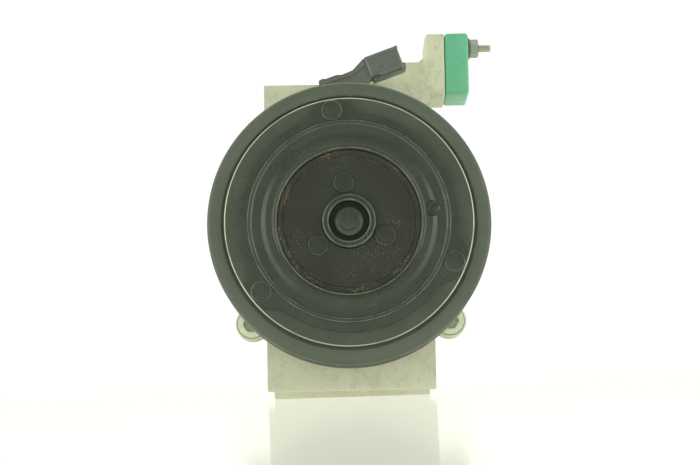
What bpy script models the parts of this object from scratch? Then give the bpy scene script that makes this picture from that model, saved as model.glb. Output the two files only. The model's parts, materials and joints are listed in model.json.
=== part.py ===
"""Automotive air-conditioning compressor with its magnetic clutch, as separate pieces.

Frame: +Z up, +X to the side of the hose ports, +Y rearward, so the clutch faces -Y.
The origin lies on the flat pad under the lower front mounting boss, midway along that boss.
Inside the assembly every piece is placed by (x, d, z) in millimetres: x and z are measured from
the shaft's axis, and d runs rearward from the plane of the clutch's front.
"""

import math

import bmesh
import bpy
from mathutils import Matrix, Vector

MM = 0.001
GAP = 0.3                    # play left between pieces that rest on each other

# ---- driving dimensions (mm) ----
SHAFT_HEIGHT = 76.5          # shaft axis above the lower boss pads
FRONT_BOSS_D = 75.0          # the two mounting bosses of the front housing
REAR_BOSS_D = 169.0          # the two mounting bosses of the rear housing
BOSS_HALF_LENGTH = 41.75
BOSS_HOLE_Z = 64.5
BOSS_HALF_DEPTH = 10.0
BOSS_HOLE_RADIUS = 5.25
BODY_RADIUS = 58.0
JOINT_D = 105.0              # where the front housing meets the rear one
EAR_START_D = 88.0
BOLT_X, BOLT_Z = 50.2, 41.6  # the four socket screws that clamp the housings
EAR_RADIUS = 8.5
EAR_HOLE_RADIUS = 4.5
BOLT_RADIUS = 4.0
BOLT_HEAD_RADIUS = 7.1
SCROLL_BOLT_CIRCLE = 33.0    # the three bolts that hold the fixed scroll from behind

PULLEY_RADIUS = 67.5
GROOVES = 6
GROOVE_PITCH = 3.56
FIRST_GROOVE_D = 14.4
PULLEY_REAR_D = 41.5
FRICTION_D = 9.8             # the pulley's friction face
ARMATURE_RADIUS = 59.0
OUTER_RIVET_CIRCLE, INNER_RIVET_CIRCLE = 53.1, 18.5
OUTER_RIVET_ANGLE, INNER_RIVET_ANGLE = 98.0, 97.0
RIVET_HEAD_RADIUS = 4.85
RIVET_RADIUS = 2.5

SHAFT_RADIUS = 8.0
NOSE_RADIUS = 17.5
ORBIT = 4.3                  # throw of the crank pin
INVOLUTE_BASE = 2.865        # base circle of both scroll wraps
WRAP_THICKNESS = 4.4
WRAP_START, WRAP_END = 4.4, 14.5
GUIDE_CIRCLE = 35.0          # circle of the anti-rotation pins
GUIDE_PIN_RADIUS = 2.5

BLOCK_X = (40.9, 51.0)       # upright port block of the manifold
BLOCK_D = (104.0, 142.0)
BLOCK_Z = (76.4, 110.0)
ARM_D = (107.0, 139.0)
ARM_Z = (82.7, 95.5)
PAD_X = (6.0, 43.1)          # pad of the rear housing under the manifold
PORTS = ((114.0, 7.0), (133.0, 6.0))         # d and mouth radius: suction, discharge
PORT_Z = 88.8
PASSAGE_RADIUS = 4.0
DROP_X = 24.0                # where the manifold's passages turn down into the housing
MANIFOLD_SCREWS_X = (12.5, 35.0)
MANIFOLD_SCREW_D = 123.5
STUD_D, STUD_Z = 123.0, 105.0
STUD_RADIUS = 2.2
CAP_THICKNESS = 12.3
CAP_Z = (77.7, 109.8)

CONNECTOR_TILT = 19.8
CONNECTOR_D = (46.5, 61.5)
CONNECTOR_LENGTH, CONNECTOR_HEIGHT = 17.2, 10.4

# ---- colours: base colour, roughness, metallic ----
FINISHES = {
    "cast_aluminium": ((0.66, 0.67, 0.58), 0.55, 0.6),
    "machined_aluminium": ((0.72, 0.74, 0.68), 0.35, 0.8),
    "black_steel": ((0.075, 0.08, 0.07), 0.5, 0.4),
    "bright_steel": ((0.6, 0.62, 0.58), 0.3, 0.9),
    "plated_steel": ((0.42, 0.44, 0.38), 0.4, 0.8),
    "black_plastic": ((0.06, 0.062, 0.058), 0.5, 0.0),
    "green_plastic": ((0.11, 0.5, 0.3), 0.45, 0.0),
    "rubber": ((0.03, 0.03, 0.03), 0.8, 0.0),
    "brass": ((0.6, 0.45, 0.2), 0.35, 0.9),
    "copper_coil": ((0.09, 0.09, 0.085), 0.55, 0.2),
}


# ---------------------------------------------------------------- scene set-up

def clear_scene():
    for old in list(bpy.data.objects):
        bpy.data.objects.remove(old, do_unlink=True)


def new_collection(name):
    collection = bpy.data.collections.new(name)
    bpy.context.scene.collection.children.link(collection)
    return collection


def finish(name):
    """The Principled material of one finish, made once."""
    material = bpy.data.materials.get(name)
    if material is None:
        colour, roughness, metallic = FINISHES[name]
        material = bpy.data.materials.new(name)
        material.use_nodes = True
        shader = material.node_tree.nodes["Principled BSDF"]
        shader.inputs["Base Color"].default_value = (*colour, 1.0)
        shader.inputs["Roughness"].default_value = roughness
        shader.inputs["Metallic"].default_value = metallic
    return material


clear_scene()
MODEL = new_collection("ac_compressor")
CUTTERS = new_collection("cutters")
ORIGIN = bpy.data.objects.new("clutch_front_on_shaft_axis", None)
ORIGIN.location = (0.0, -FRONT_BOSS_D * MM, SHAFT_HEIGHT * MM)
MODEL.objects.link(ORIGIN)


# ---------------------------------------------------------------- shape helpers

def place(name, mesh, look, location=(0.0, 0.0, 0.0), rotation=(0.0, 0.0, 0.0)):
    """Link a mesh as a piece of the model, or as a hidden shape where look is None."""
    piece = bpy.data.objects.new(name, mesh)
    piece.parent = ORIGIN
    piece.location = [value * MM for value in location]
    piece.rotation_euler = rotation
    if look is None:
        CUTTERS.objects.link(piece)
        piece.hide_render = True
        piece.display_type = "WIRE"
    else:
        MODEL.objects.link(piece)
        mesh.materials.append(finish(look))
    return piece


def smooth(mesh, angle=35.0):
    mesh.shade_smooth()
    mesh.set_sharp_from_angle(angle=math.radians(angle))


def turned(name, profile, look=None, closed=True, centre=(0.0, 0.0), segments=32):
    """Turn a profile of (radius, d) points about a line parallel to the shaft through centre."""
    loop = [Vector((radius, 0.0, d)) * MM for radius, d in profile]
    turn = sum(a.x * b.z - b.x * a.z for a, b in zip(loop, loop[1:] + loop[:1]))
    if turn > 0.0:
        loop.reverse()
    edges = [(i, i + 1) for i in range(len(loop) - 1)]
    if closed:
        edges.append((len(loop) - 1, 0))
    mesh = bpy.data.meshes.new(name)
    mesh.from_pydata(loop, edges, [])
    piece = place(name, mesh, look, (centre[0], 0.0, centre[1]), (-math.pi / 2, 0.0, 0.0))
    screw = piece.modifiers.new("turn", "SCREW")
    screw.axis = "Z"
    screw.angle = 2 * math.pi
    screw.steps = screw.render_steps = segments
    screw.use_merge_vertices = True
    screw.merge_threshold = 0.00001
    screw.use_smooth_shade = False
    return piece


def ring(name, inner, outer, start, end, look=None, centre=(0.0, 0.0), segments=32):
    profile = [(inner, start), (outer, start), (outer, end), (inner, end)]
    return turned(name, profile, look, True, centre, segments)


def rod(name, radius, start, end, look=None, centre=(0.0, 0.0), segments=24):
    """A cylinder along the shaft's direction."""
    return bar(name, radius, (centre[0], start, centre[1]), (centre[0], end, centre[1]), look, segments)


def bar(name, radius, start, end, look=None, segments=24, spin=0.0):
    """A cylinder or prism between two (x, d, z) points."""
    a, b = Vector(start), Vector(end)
    mesh = bpy.data.meshes.new(name)
    shape = bmesh.new()
    bmesh.ops.create_cone(shape, cap_ends=True, segments=segments, radius1=radius * MM,
                          radius2=radius * MM, depth=(b - a).length * MM,
                          matrix=Matrix.Rotation(spin, 4, "Z"))
    shape.to_mesh(mesh)
    shape.free()
    smooth(mesh)
    turn = (b - a).to_track_quat("Z", "Y").to_euler()
    return place(name, mesh, look, (a + b) / 2, turn)


def block(name, x, d, z, look=None, bevel=0.0, segments=2):
    """A box between two x, two d and two z values, with rounded edges."""
    size = [abs(hi - lo) * MM for lo, hi in (x, d, z)]
    mesh = bpy.data.meshes.new(name)
    shape = bmesh.new()
    bmesh.ops.create_cube(shape, size=1.0, matrix=Matrix.Diagonal((*size, 1.0)))
    shape.to_mesh(mesh)
    shape.free()
    piece = place(name, mesh, look, [(lo + hi) / 2 for lo, hi in (x, d, z)])
    if bevel:
        edge = piece.modifiers.new("rounded edges", "BEVEL")
        edge.width = bevel * MM
        edge.segments = segments
    return piece


def slab(name, outline, start, end, look=None, centre=(0.0, 0.0)):
    """A flat outline of (x, z) points, in order, as thick as start..end along d."""
    mesh = bpy.data.meshes.new(name)
    shape = bmesh.new()
    low = [shape.verts.new(Vector((x, start, z)) * MM) for x, z in outline]
    high = [shape.verts.new(Vector((x, end, z)) * MM) for x, z in outline]
    shape.faces.new(low)
    shape.faces.new(high[::-1])
    for i in range(len(outline)):
        j = (i + 1) % len(outline)
        shape.faces.new((low[j], low[i], high[i], high[j]))
    bmesh.ops.recalc_face_normals(shape, faces=shape.faces)
    shape.to_mesh(mesh)
    shape.free()
    return place(name, mesh, look, (centre[0], 0.0, centre[1]))


def boolean(target, operation, *tools):
    for tool in tools:
        modifier = target.modifiers.new(tool.name, "BOOLEAN")
        modifier.operation = operation
        modifier.solver = "EXACT"
        modifier.object = tool
    return target


def polar(radius, degrees):
    """The (x, z) point at a radius and an angle from +X towards +Z."""
    return radius * math.cos(math.radians(degrees)), radius * math.sin(math.radians(degrees))


# ---------------------------------------------------------------- casings

def mounting_bosses(owner, d):
    """The transverse bosses above and below a casing: flat-faced blocks bored from side to side."""
    adds, cuts = [], []
    for label, sign in (("upper", 1), ("lower", -1)):
        name = f"{owner}_{label}"
        z = sign * BOSS_HOLE_Z
        adds.append(block(f"{name}_boss", (-BOSS_HALF_LENGTH, BOSS_HALF_LENGTH),
                          (d - BOSS_HALF_DEPTH, d + BOSS_HALF_DEPTH),
                          sorted((sign * 36.0, sign * SHAFT_HEIGHT)), bevel=1.4))
        reach = BOSS_HALF_LENGTH + 5.0
        cuts.append(bar(f"{name}_hole", BOSS_HOLE_RADIUS, (-reach, d, z), (reach, d, z), segments=16))
    return adds, cuts


def corner_bolts():
    """Number and centre of each of the four screws that clamp the housings together."""
    corners = ((1, 1), (-1, 1), (-1, -1), (1, -1))
    return [(index, (sx * BOLT_X, sz * BOLT_Z)) for index, (sx, sz) in enumerate(corners, 1)]


def bolt_ears(owner, radius, start, end):
    """The four ears for the socket screws, each on a rib that leans towards the shaft."""
    adds, cuts = [], []
    for index, (x, z) in corner_bolts():
        adds.append(rod(f"{owner}_ear_{index}", radius, start, end, centre=(x, z), segments=16))
        rib = block(f"{owner}_rib_{index}", (-8.0, 8.0), (start + 0.5, end - 0.5),
                    (-0.85 * radius, 0.85 * radius))
        rib.location = Vector((0.86 * x, (start + end) / 2, 0.86 * z)) * MM
        rib.rotation_euler = (0.0, -math.atan2(z, x), 0.0)
        adds.append(rib)
        cuts.append(rod(f"{owner}_ear_hole_{index}", EAR_HOLE_RADIUS, start - 3.0, end + 3.0,
                        centre=(x, z), segments=12))
    return adds, cuts


def scroll_bolts():
    """Number and centre of each of the three bolts that hold the fixed scroll."""
    return [(index + 1, polar(SCROLL_BOLT_CIRCLE, 90.0 + 120.0 * index)) for index in range(3)]


def front_housing():
    outside = [
        (0.0, 17.5), (15.9, 17.5), (NOSE_RADIUS, 18.6), (16.3, 18.6), (16.3, 20.0),
        (NOSE_RADIUS, 20.0), (NOSE_RADIUS, 38.6), (22.0, 38.6), (22.0, 40.3), (20.6, 40.3),
        (20.6, 41.9), (22.0, 41.9), (22.0, 45.0), (56.5, 45.0), (BODY_RADIUS, 46.5),
        (BODY_RADIUS, JOINT_D), (0.0, JOINT_D),
    ]
    inside = [
        (0.0, 10.0), (11.3, 10.0), (11.3, 42.0), (14.3, 42.0), (14.3, 62.0), (36.3, 62.0),
        (36.3, 79.0), (46.0, 79.0), (46.0, 101.0), (51.5, 101.0), (51.5, 110.0), (0.0, 110.0),
    ]
    casing = turned("front_housing", outside, "cast_aluminium", False, segments=36)
    boss_adds, boss_cuts = mounting_bosses("front", FRONT_BOSS_D)
    ear_adds, ear_cuts = bolt_ears("front", EAR_RADIUS, EAR_START_D, JOINT_D)
    seats = [rod(f"front_ear_seat_{index}", BOLT_HEAD_RADIUS + GAP, EAR_START_D - 5.0,
                 EAR_START_D + 7.0, centre=centre, segments=16) for index, centre in corner_bolts()]
    boolean(casing, "UNION", *boss_adds, *ear_adds)
    hollow = turned("front_hollow", inside, closed=False, segments=36)
    boolean(casing, "DIFFERENCE", hollow, *boss_cuts, *ear_cuts, *seats)


def rear_housing():
    start = JOINT_D + 1.2
    outer = BODY_RADIUS - 0.5
    outside = [
        (0.0, start), (outer, start), (outer, 188.0), (55.0, 196.0), (47.0, 201.5),
        (38.0, 203.0), (0.0, 203.0),
    ]
    inside = [(0.0, 100.0), (51.9, 100.0), (51.9, 150.7), (46.0, 150.7), (46.0, 185.0), (40.0, 193.0),
              (0.0, 194.0)]
    casing = turned("rear_housing", outside, "cast_aluminium", False, segments=36)
    boss_adds, boss_cuts = mounting_bosses("rear", REAR_BOSS_D)
    ear_adds, ear_cuts = bolt_ears("rear", 6.5, start, start + 11.5)
    pad = block("manifold_pad", PAD_X, ARM_D, (44.0, ARM_Z[0] - GAP), bevel=1.2)
    ridge = block("discharge_ridge", (DROP_X - 7.0, DROP_X + 7.0), (ARM_D[1] - 4.0, 164.0), (44.0, 68.0))
    boolean(casing, "UNION", *boss_adds, *ear_adds, pad, ridge)

    suction_d, discharge_d = (d for d, _ in PORTS)
    gallery_z, gallery_end = 61.5, 155.0
    passages = [
        bar("suction_drop", PASSAGE_RADIUS, (DROP_X, suction_d, 40.0), (DROP_X, suction_d, 90.0),
            segments=12),
        bar("discharge_drop", PASSAGE_RADIUS, (DROP_X, discharge_d, gallery_z - 3.0),
            (DROP_X, discharge_d, 90.0), segments=12),
        bar("discharge_gallery", 3.4, (DROP_X, discharge_d, gallery_z), (DROP_X, gallery_end, gallery_z),
            segments=12),
        bar("discharge_rise", 3.2, (DROP_X, gallery_end - 2.0, 34.0), (DROP_X, gallery_end - 2.0, gallery_z),
            segments=12),
    ]
    holes = [bar(f"pad_screw_hole_{i}", 2.8, (x, MANIFOLD_SCREW_D, 66.0), (x, MANIFOLD_SCREW_D, 90.0),
                 segments=12) for i, x in enumerate(MANIFOLD_SCREWS_X, 1)]
    holes += [rod(f"scroll_bolt_hole_{i}", EAR_HOLE_RADIUS, 185.0, 210.0, centre=centre, segments=12)
              for i, centre in scroll_bolts()]
    holes.append(rod("valve_hole", 6.3, 185.0, 210.0, centre=(-24.0, 20.0), segments=16))
    hollow = turned("rear_hollow", inside, closed=False, segments=36)
    boolean(casing, "DIFFERENCE", hollow, *boss_cuts, *ear_cuts, *passages, *holes)


def casing_joints():
    ring("housing_gasket", 52.2, 57.2, JOINT_D + 0.3, JOINT_D + 0.9, "rubber", segments=36)
    for index, centre in corner_bolts():
        screw = rod(f"housing_screw_{index}", BOLT_RADIUS, 93.0, 116.0, "plated_steel", centre, 12)
        head = rod(f"housing_screw_head_{index}", BOLT_HEAD_RADIUS, EAR_START_D, EAR_START_D + 6.6,
                   centre=centre, segments=16)
        socket = rod(f"housing_screw_socket_{index}", 4.6, EAR_START_D - 3.0, EAR_START_D + 4.5,
                     centre=centre, segments=6)
        boolean(screw, "UNION", head)
        boolean(screw, "DIFFERENCE", socket)
    for index, centre in scroll_bolts():
        bolt = rod(f"scroll_bolt_{index}", BOLT_RADIUS, 178.0, 204.0, "plated_steel", centre, 12)
        head = rod(f"scroll_bolt_head_{index}", 7.4, 203.3, 208.3, centre=centre, segments=6)
        boolean(bolt, "UNION", head)


def relief_valve():
    valve = rod("relief_valve", 6.0, 190.0, 206.0, "brass", (-24.0, 20.0), 16)
    head = rod("valve_hex", 8.6, 203.3, 209.0, centre=(-24.0, 20.0), segments=6)
    tip = rod("valve_tip", 4.0, 206.0, 213.0, centre=(-24.0, 20.0), segments=16)
    outlet = rod("valve_outlet", 1.5, 207.0, 216.0, centre=(-24.0, 20.0), segments=12)
    boolean(valve, "UNION", head, tip)
    boolean(valve, "DIFFERENCE", outlet)


# ---------------------------------------------------------------- manifold and shipping cap

def manifold():
    body = block("manifold", BLOCK_X, BLOCK_D, BLOCK_Z, "cast_aluminium", bevel=2.0)
    arm = block("manifold_arm", (8.0, 46.0), ARM_D, ARM_Z, bevel=2.0)
    step = block("manifold_step", (BLOCK_X[0] - 2.0, PAD_X[1] + GAP), (BLOCK_D[0] - 2.0, BLOCK_D[1] + 2.0),
                 (BLOCK_Z[0] - 2.0, ARM_Z[0]))
    boolean(body, "UNION", arm)
    boolean(body, "DIFFERENCE", step)
    for i, (d, mouth) in enumerate(PORTS, 1):
        boolean(body, "DIFFERENCE",
                bar(f"port_mouth_{i}", mouth, (42.0, d, PORT_Z), (60.0, d, PORT_Z), segments=16),
                bar(f"port_passage_{i}", PASSAGE_RADIUS, (DROP_X - 2.0, d, PORT_Z), (45.0, d, PORT_Z),
                    segments=12),
                bar(f"port_drop_{i}", PASSAGE_RADIUS - 0.1, (DROP_X, d, 78.0), (DROP_X, d, PORT_Z),
                    segments=12))
    stud_hole = bar("stud_hole", STUD_RADIUS + GAP, (43.7, STUD_D, STUD_Z), (60.0, STUD_D, STUD_Z),
                    segments=12)
    boolean(body, "DIFFERENCE", stud_hole)
    for index, x in enumerate(MANIFOLD_SCREWS_X, 1):
        d = MANIFOLD_SCREW_D
        seat = bar(f"screw_seat_{index}", 6.0, (x, d, 91.5), (x, d, 100.0), segments=16)
        hole = bar(f"screw_hole_{index}", 3.0, (x, d, 80.0), (x, d, 95.0), segments=12)
        boolean(body, "DIFFERENCE", seat, hole)
        screw = bar(f"manifold_screw_{index}", 2.4, (x, d, 68.0), (x, d, 92.5), "plated_steel", 12)
        head = bar(f"screw_head_{index}", 5.2, (x, d, 91.8), (x, d, 95.8), segments=16)
        socket = bar(f"screw_socket_{index}", 2.5, (x, d, 93.5), (x, d, 98.0), segments=6)
        boolean(screw, "UNION", head)
        boolean(screw, "DIFFERENCE", socket)


def port_cap():
    inner = BLOCK_X[1] + GAP
    cap = block("port_cap", (inner, inner + CAP_THICKNESS), BLOCK_D, CAP_Z, "green_plastic", bevel=1.6)
    for i, (d, mouth) in enumerate(PORTS, 1):
        plug = bar(f"cap_plug_{i}", mouth - 0.6, (inner - 2.0, d, PORT_Z), (inner + 3.0, d, PORT_Z),
                   segments=16)
        boolean(cap, "UNION", plug)
    hole = bar("cap_hole", STUD_RADIUS + 0.5, (inner - 3.0, STUD_D, STUD_Z),
               (inner + 20.0, STUD_D, STUD_Z), segments=16)
    boolean(cap, "DIFFERENCE", hole)

    bar("port_stud", STUD_RADIUS, (44.1, STUD_D, STUD_Z), (76.6, STUD_D, STUD_Z), "plated_steel", 12)

    face = inner + CAP_THICKNESS + GAP
    nut = bar("cap_nut", 4.9, (face + 1.0, STUD_D, STUD_Z), (face + 6.0, STUD_D, STUD_Z),
              "plated_steel", 6, spin=math.pi / 6)
    flange = bar("nut_flange", 6.0, (face, STUD_D, STUD_Z), (face + 1.5, STUD_D, STUD_Z), segments=16)
    thread = bar("nut_thread", STUD_RADIUS + GAP, (face - 3.0, STUD_D, STUD_Z),
                 (face + 9.0, STUD_D, STUD_Z), segments=12)
    boolean(nut, "UNION", flange)
    boolean(nut, "DIFFERENCE", thread)


# ---------------------------------------------------------------- clutch

def groove_profile():
    """The V grooves of the belt face, front to rear."""
    points = []
    for index in range(GROOVES):
        d = FIRST_GROOVE_D + index * GROOVE_PITCH
        points += [(64.0, d + GROOVE_PITCH / 2), (PULLEY_RADIUS - 0.3, d + GROOVE_PITCH)]
    return points


def pulley():
    profile = [
        (36.5, FRICTION_D), (60.2, FRICTION_D), (60.2, 8.2), (62.5, 7.4), (65.5, 8.0),
        (PULLEY_RADIUS, 11.0), (PULLEY_RADIUS, FIRST_GROOVE_D), *groove_profile(),
        (PULLEY_RADIUS, PULLEY_REAR_D), (59.0, PULLEY_REAR_D),
        (59.0, 15.5), (31.8, 15.5), (31.8, 38.6), (27.8, 38.6), (27.8, 20.0), (25.5, 20.0),
        (25.5, 13.0), (34.5, 13.0),
    ]
    turned("pulley", profile, "black_steel", segments=40)
    ring("pulley_bearing_outer", 24.7, 27.4, 20.3, 38.3, "bright_steel", segments=24)
    ring("pulley_bearing_inner", 18.0, 20.4, 20.3, 38.3, "bright_steel", segments=24)
    turned("pulley_bearing_balls", [(20.7, 27.0), (22.5, 24.6), (24.4, 27.0), (24.4, 31.6),
                                    (22.5, 34.0), (20.7, 31.6)], "bright_steel", segments=24)


def c_ring(name, inner, outer, start, end, look):
    """A snap ring with its gap at the bottom."""
    piece = ring(name, inner, outer, start, end, look, segments=24)
    opening = block(f"{name}_opening", (-3.0, 3.0), (start - 2.0, end + 2.0), (-outer - 3.0, -inner + 3.0))
    return boolean(piece, "DIFFERENCE", opening)


def field_coil():
    profile = [
        (33.0, 17.0), (57.6, 17.0), (57.6, 44.6), (22.4, 44.6), (22.4, 42.3), (33.0, 42.3),
    ]
    turned("field_coil", profile, "copper_coil", segments=32)
    c_ring("coil_snap_ring", 20.9, 25.0, 40.7, 41.5, "bright_steel")
    c_ring("bearing_snap_ring", 16.6, 20.2, 18.9, 19.7, "bright_steel")


def connector():
    """The two-pin socket on the moulded arm that rises behind the pulley from the coil."""
    tilt = math.radians(CONNECTOR_TILT)
    along = Vector((math.cos(tilt), 0.0, math.sin(tilt)))
    across = Vector((-math.sin(tilt), 0.0, math.cos(tilt)))
    corner = Vector((12.0, 0.0, 76.6))
    length, height = CONNECTOR_LENGTH, CONNECTOR_HEIGHT
    centre_d = sum(CONNECTOR_D) / 2
    depth = CONNECTOR_D[1] - CONNECTOR_D[0]

    def tilted(name, u, v, width, look=None, bevel=0.0):
        piece = block(name, u, (-width / 2, width / 2), v, look, bevel)
        middle = corner + along * (sum(u) / 2) + across * (sum(v) / 2)
        piece.location = Vector((middle.x, centre_d, middle.z)) * MM
        piece.rotation_euler = (0.0, -tilt, 0.0)
        return piece

    shell = tilted("coil_connector", (0.0, length), (0.0, height), depth, "black_plastic", 0.6)
    ledge = tilted("connector_ledge", (1.5, length), (-1.3, 0.5), depth - 1.0)
    lip = tilted("connector_lip", (length - 2.0, length + 1.0), (-1.3, 2.0), depth - 2.0)
    latch = tilted("connector_latch", (4.0, 12.0), (height - 1.0, height + 0.7), 5.0)
    arm_outline = [
        (-13.6, 73.0), (-14.0, 75.2), (-11.6, 76.4), (-4.9, 78.2), (-2.5, 78.2), (2.7, 80.2),
        (3.6, 81.1), (8.6, 86.2), (12.6, 76.0), (7.5, 69.0), (6.5, 58.6), (-6.5, 58.6),
        (-7.5, 69.0), (-11.0, 71.5),
    ]
    arm = slab("coil_lead_arm", arm_outline, 47.5, 58.0)
    root = block("arm_root", (-5.5, 5.5), (42.3, 50.0), (58.6, 66.0))
    mouth = tilted("connector_mouth", (6.0, length + 4.0), (1.6, height - 1.6), depth - 3.2)
    boolean(shell, "UNION", ledge, lip, latch, arm, root)
    boolean(shell, "DIFFERENCE", mouth)
    for index, offset in enumerate((-2.6, 2.6), 1):
        pin = tilted(f"connector_pin_{index}", (6.3, 12.8), (4.5, 5.9), 2.6, "bright_steel")
        pin.location.y += offset * MM


def clutch_hub():
    profile = [
        (3.4, 6.2), (9.6, 6.2), (9.6, 1.4), (12.7, 1.4), (12.7, 7.8), (24.0, 7.8), (24.0, 10.0),
        (12.5, 10.0), (12.5, 16.8), (8.3, 16.8), (8.3, 9.0), (3.4, 9.0),
    ]
    hub = turned("clutch_hub", profile, "black_steel", segments=24)
    disc = ring("inner_disc", 13.0, 31.0, 4.5, 7.5, "black_steel", segments=36)
    ring("damper_ring", 31.3, 33.9, 4.9, 8.6, "rubber", segments=36)
    for index in range(3):
        centre = polar(INNER_RIVET_CIRCLE, INNER_RIVET_ANGLE + 120.0 * index)
        rivet = rod(f"inner_rivet_{index + 1}", RIVET_RADIUS, 3.6, 10.2, "black_steel", centre, 12)
        head = rod(f"inner_rivet_head_{index + 1}", RIVET_HEAD_RADIUS, 3.2, 4.2, centre=centre, segments=16)
        boolean(rivet, "UNION", head)
        hole = rod(f"inner_rivet_hole_{index + 1}", RIVET_RADIUS + GAP, 0.0, 14.0, centre=centre, segments=12)
        boolean(disc, "DIFFERENCE", hole)
        boolean(hub, "DIFFERENCE", hole)

    bolt = rod("clutch_bolt", 3.0, 3.0, 24.0, "plated_steel", segments=12)
    flange = rod("clutch_bolt_flange", 7.05, 4.2, 5.9, segments=20)
    head = rod("clutch_bolt_head", 5.08, -0.8, 4.8, segments=6)
    boolean(bolt, "UNION", flange, head)


def armature():
    profile = [
        (34.2, 8.6), (34.2, 1.0), (37.0, 0.1), (39.0, 0.1), (41.0, 2.2), (43.8, 2.2), (45.0, 0.8),
        (47.0, 0.8), (48.2, 2.6), (52.0, 2.6), (52.0, 4.6), (36.6, 4.6), (36.6, 8.6),
    ]
    cover = turned("hub_outer_ring", profile, "black_steel", segments=36)
    plate = ring("armature_plate", 37.2, ARMATURE_RADIUS, 4.9, 9.3, "black_steel", segments=36)
    for index in range(3):
        angle = OUTER_RIVET_ANGLE + 120.0 * index
        corners = ((49.5, 15.0), (51.9, 14.0), (58.2, 6.5))
        lobe = [polar(radius, angle - spread) for radius, spread in corners]
        lobe += [polar(radius, angle + spread) for radius, spread in corners[::-1]]
        boolean(cover, "UNION", slab(f"cover_lobe_{index + 1}", lobe, 2.6, 4.6))
    for index in range(3):
        centre = polar(OUTER_RIVET_CIRCLE, OUTER_RIVET_ANGLE + 120.0 * index)
        rivet = rod(f"outer_rivet_{index + 1}", RIVET_RADIUS, 1.6, 9.0, "black_steel", centre, 12)
        head = rod(f"outer_rivet_head_{index + 1}", RIVET_HEAD_RADIUS, 1.2, 2.3, centre=centre, segments=16)
        boolean(rivet, "UNION", head)
        hole = rod(f"outer_rivet_hole_{index + 1}", RIVET_RADIUS + GAP, -2.0, 12.0, centre=centre,
                   segments=12)
        boolean(cover, "DIFFERENCE", hole)
        boolean(plate, "DIFFERENCE", hole)


# ---------------------------------------------------------------- shaft and its bearings

def drive_shaft():
    profile = [
        (0.0, 26.0), (3.3, 26.0), (3.3, 9.3), (SHAFT_RADIUS, 9.3), (SHAFT_RADIUS, 57.0),
        (12.5, 57.0), (12.5, 62.4), (20.0, 62.4), (20.0, 78.2), (0.0, 78.2),
    ]
    shaft = turned("drive_shaft", profile, "bright_steel", closed=False, segments=24)
    crank_pin = rod("crank_pin", 6.5, 77.0, 101.0, centre=(0.0, ORBIT), segments=20)
    boolean(shaft, "UNION", crank_pin)
    ring("nose_bearing", 8.3, 11.0, 24.0, 34.0, "bright_steel", segments=24)
    ring("shaft_seal", 8.3, 14.0, 44.0, 52.0, "rubber", segments=24)
    ring("main_bearing_outer", 31.2, 35.8, 63.0, 77.0, "bright_steel", segments=24)
    ring("main_bearing_inner", 20.5, 25.2, 63.0, 77.0, "bright_steel", segments=24)
    turned("main_bearing_balls", [(25.6, 68.2), (28.1, 65.2), (30.6, 68.2), (30.6, 71.8),
                                  (28.1, 74.8), (25.6, 71.8)], "bright_steel", segments=24)


def eccentric_bush():
    bush = ring("eccentric_bush", 6.8, 13.0, 79.4, 100.8, "bright_steel", (0.0, ORBIT), 24)
    arc = [polar(43.5, 180.0 + 12.0 * step) for step in range(1, 15)]
    weight = slab("counterweight", [(-36.0, -6.0), *arc, (36.0, -6.0), (12.0, 4.0), (-12.0, 4.0)], 80.0, 87.0)
    bore = rod("bush_bore", 6.8, 70.0, 110.0, centre=(0.0, ORBIT), segments=24)
    boolean(bush, "UNION", weight)
    boolean(bush, "DIFFERENCE", bore)


# ---------------------------------------------------------------- scrolls

def wrap_outline(half_turn):
    """An involute wall's outline: out along one flank and back along the other."""
    steps = 58
    offset = WRAP_THICKNESS / (2.0 * INVOLUTE_BASE)
    turn = math.pi * half_turn
    sides = []
    for side in (offset, -offset):
        flank = []
        for step in range(steps + 1):
            angle = WRAP_START + (WRAP_END - WRAP_START) * step / steps
            roll = angle - side
            x = INVOLUTE_BASE * (math.cos(angle) + roll * math.sin(angle))
            z = INVOLUTE_BASE * (math.sin(angle) - roll * math.cos(angle))
            flank.append((x * math.cos(turn) - z * math.sin(turn), x * math.sin(turn) + z * math.cos(turn)))
        sides.append(flank)
    return sides[0] + sides[1][::-1]


def orbiting_scroll():
    centre = (0.0, ORBIT)
    profile = [(16.8, 88.3), (21.0, 88.3), (21.0, 104.6), (46.0, 104.6), (46.0, 111.0), (0.0, 111.0),
               (0.0, 103.5), (16.8, 103.5)]
    scroll = turned("orbiting_scroll", profile, "machined_aluminium", centre=centre, segments=40)
    boolean(scroll, "UNION", slab("orbiting_wrap", wrap_outline(0), 110.0, 139.9, centre=centre))
    ring("orbit_bearing", 13.3, 16.5, 89.2, 100.6, "bright_steel", centre, 24)
    for index in range(3):
        x, z = polar(GUIDE_CIRCLE, 30.0 + 120.0 * index)
        pocket = rod(f"guide_pocket_{index + 1}", 9.5, 100.0, 109.0, centre=(x, z + ORBIT), segments=16)
        boolean(scroll, "DIFFERENCE", pocket)
        ring(f"anti_rotation_ring_{index + 1}", GUIDE_PIN_RADIUS + ORBIT + 0.35, 9.2, 104.9, 108.7,
             "bright_steel", (x, z + ORBIT), 16)
        rod(f"anti_rotation_pin_{index + 1}", GUIDE_PIN_RADIUS, 101.5, 108.4, "bright_steel", (x, z), 12)


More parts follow.
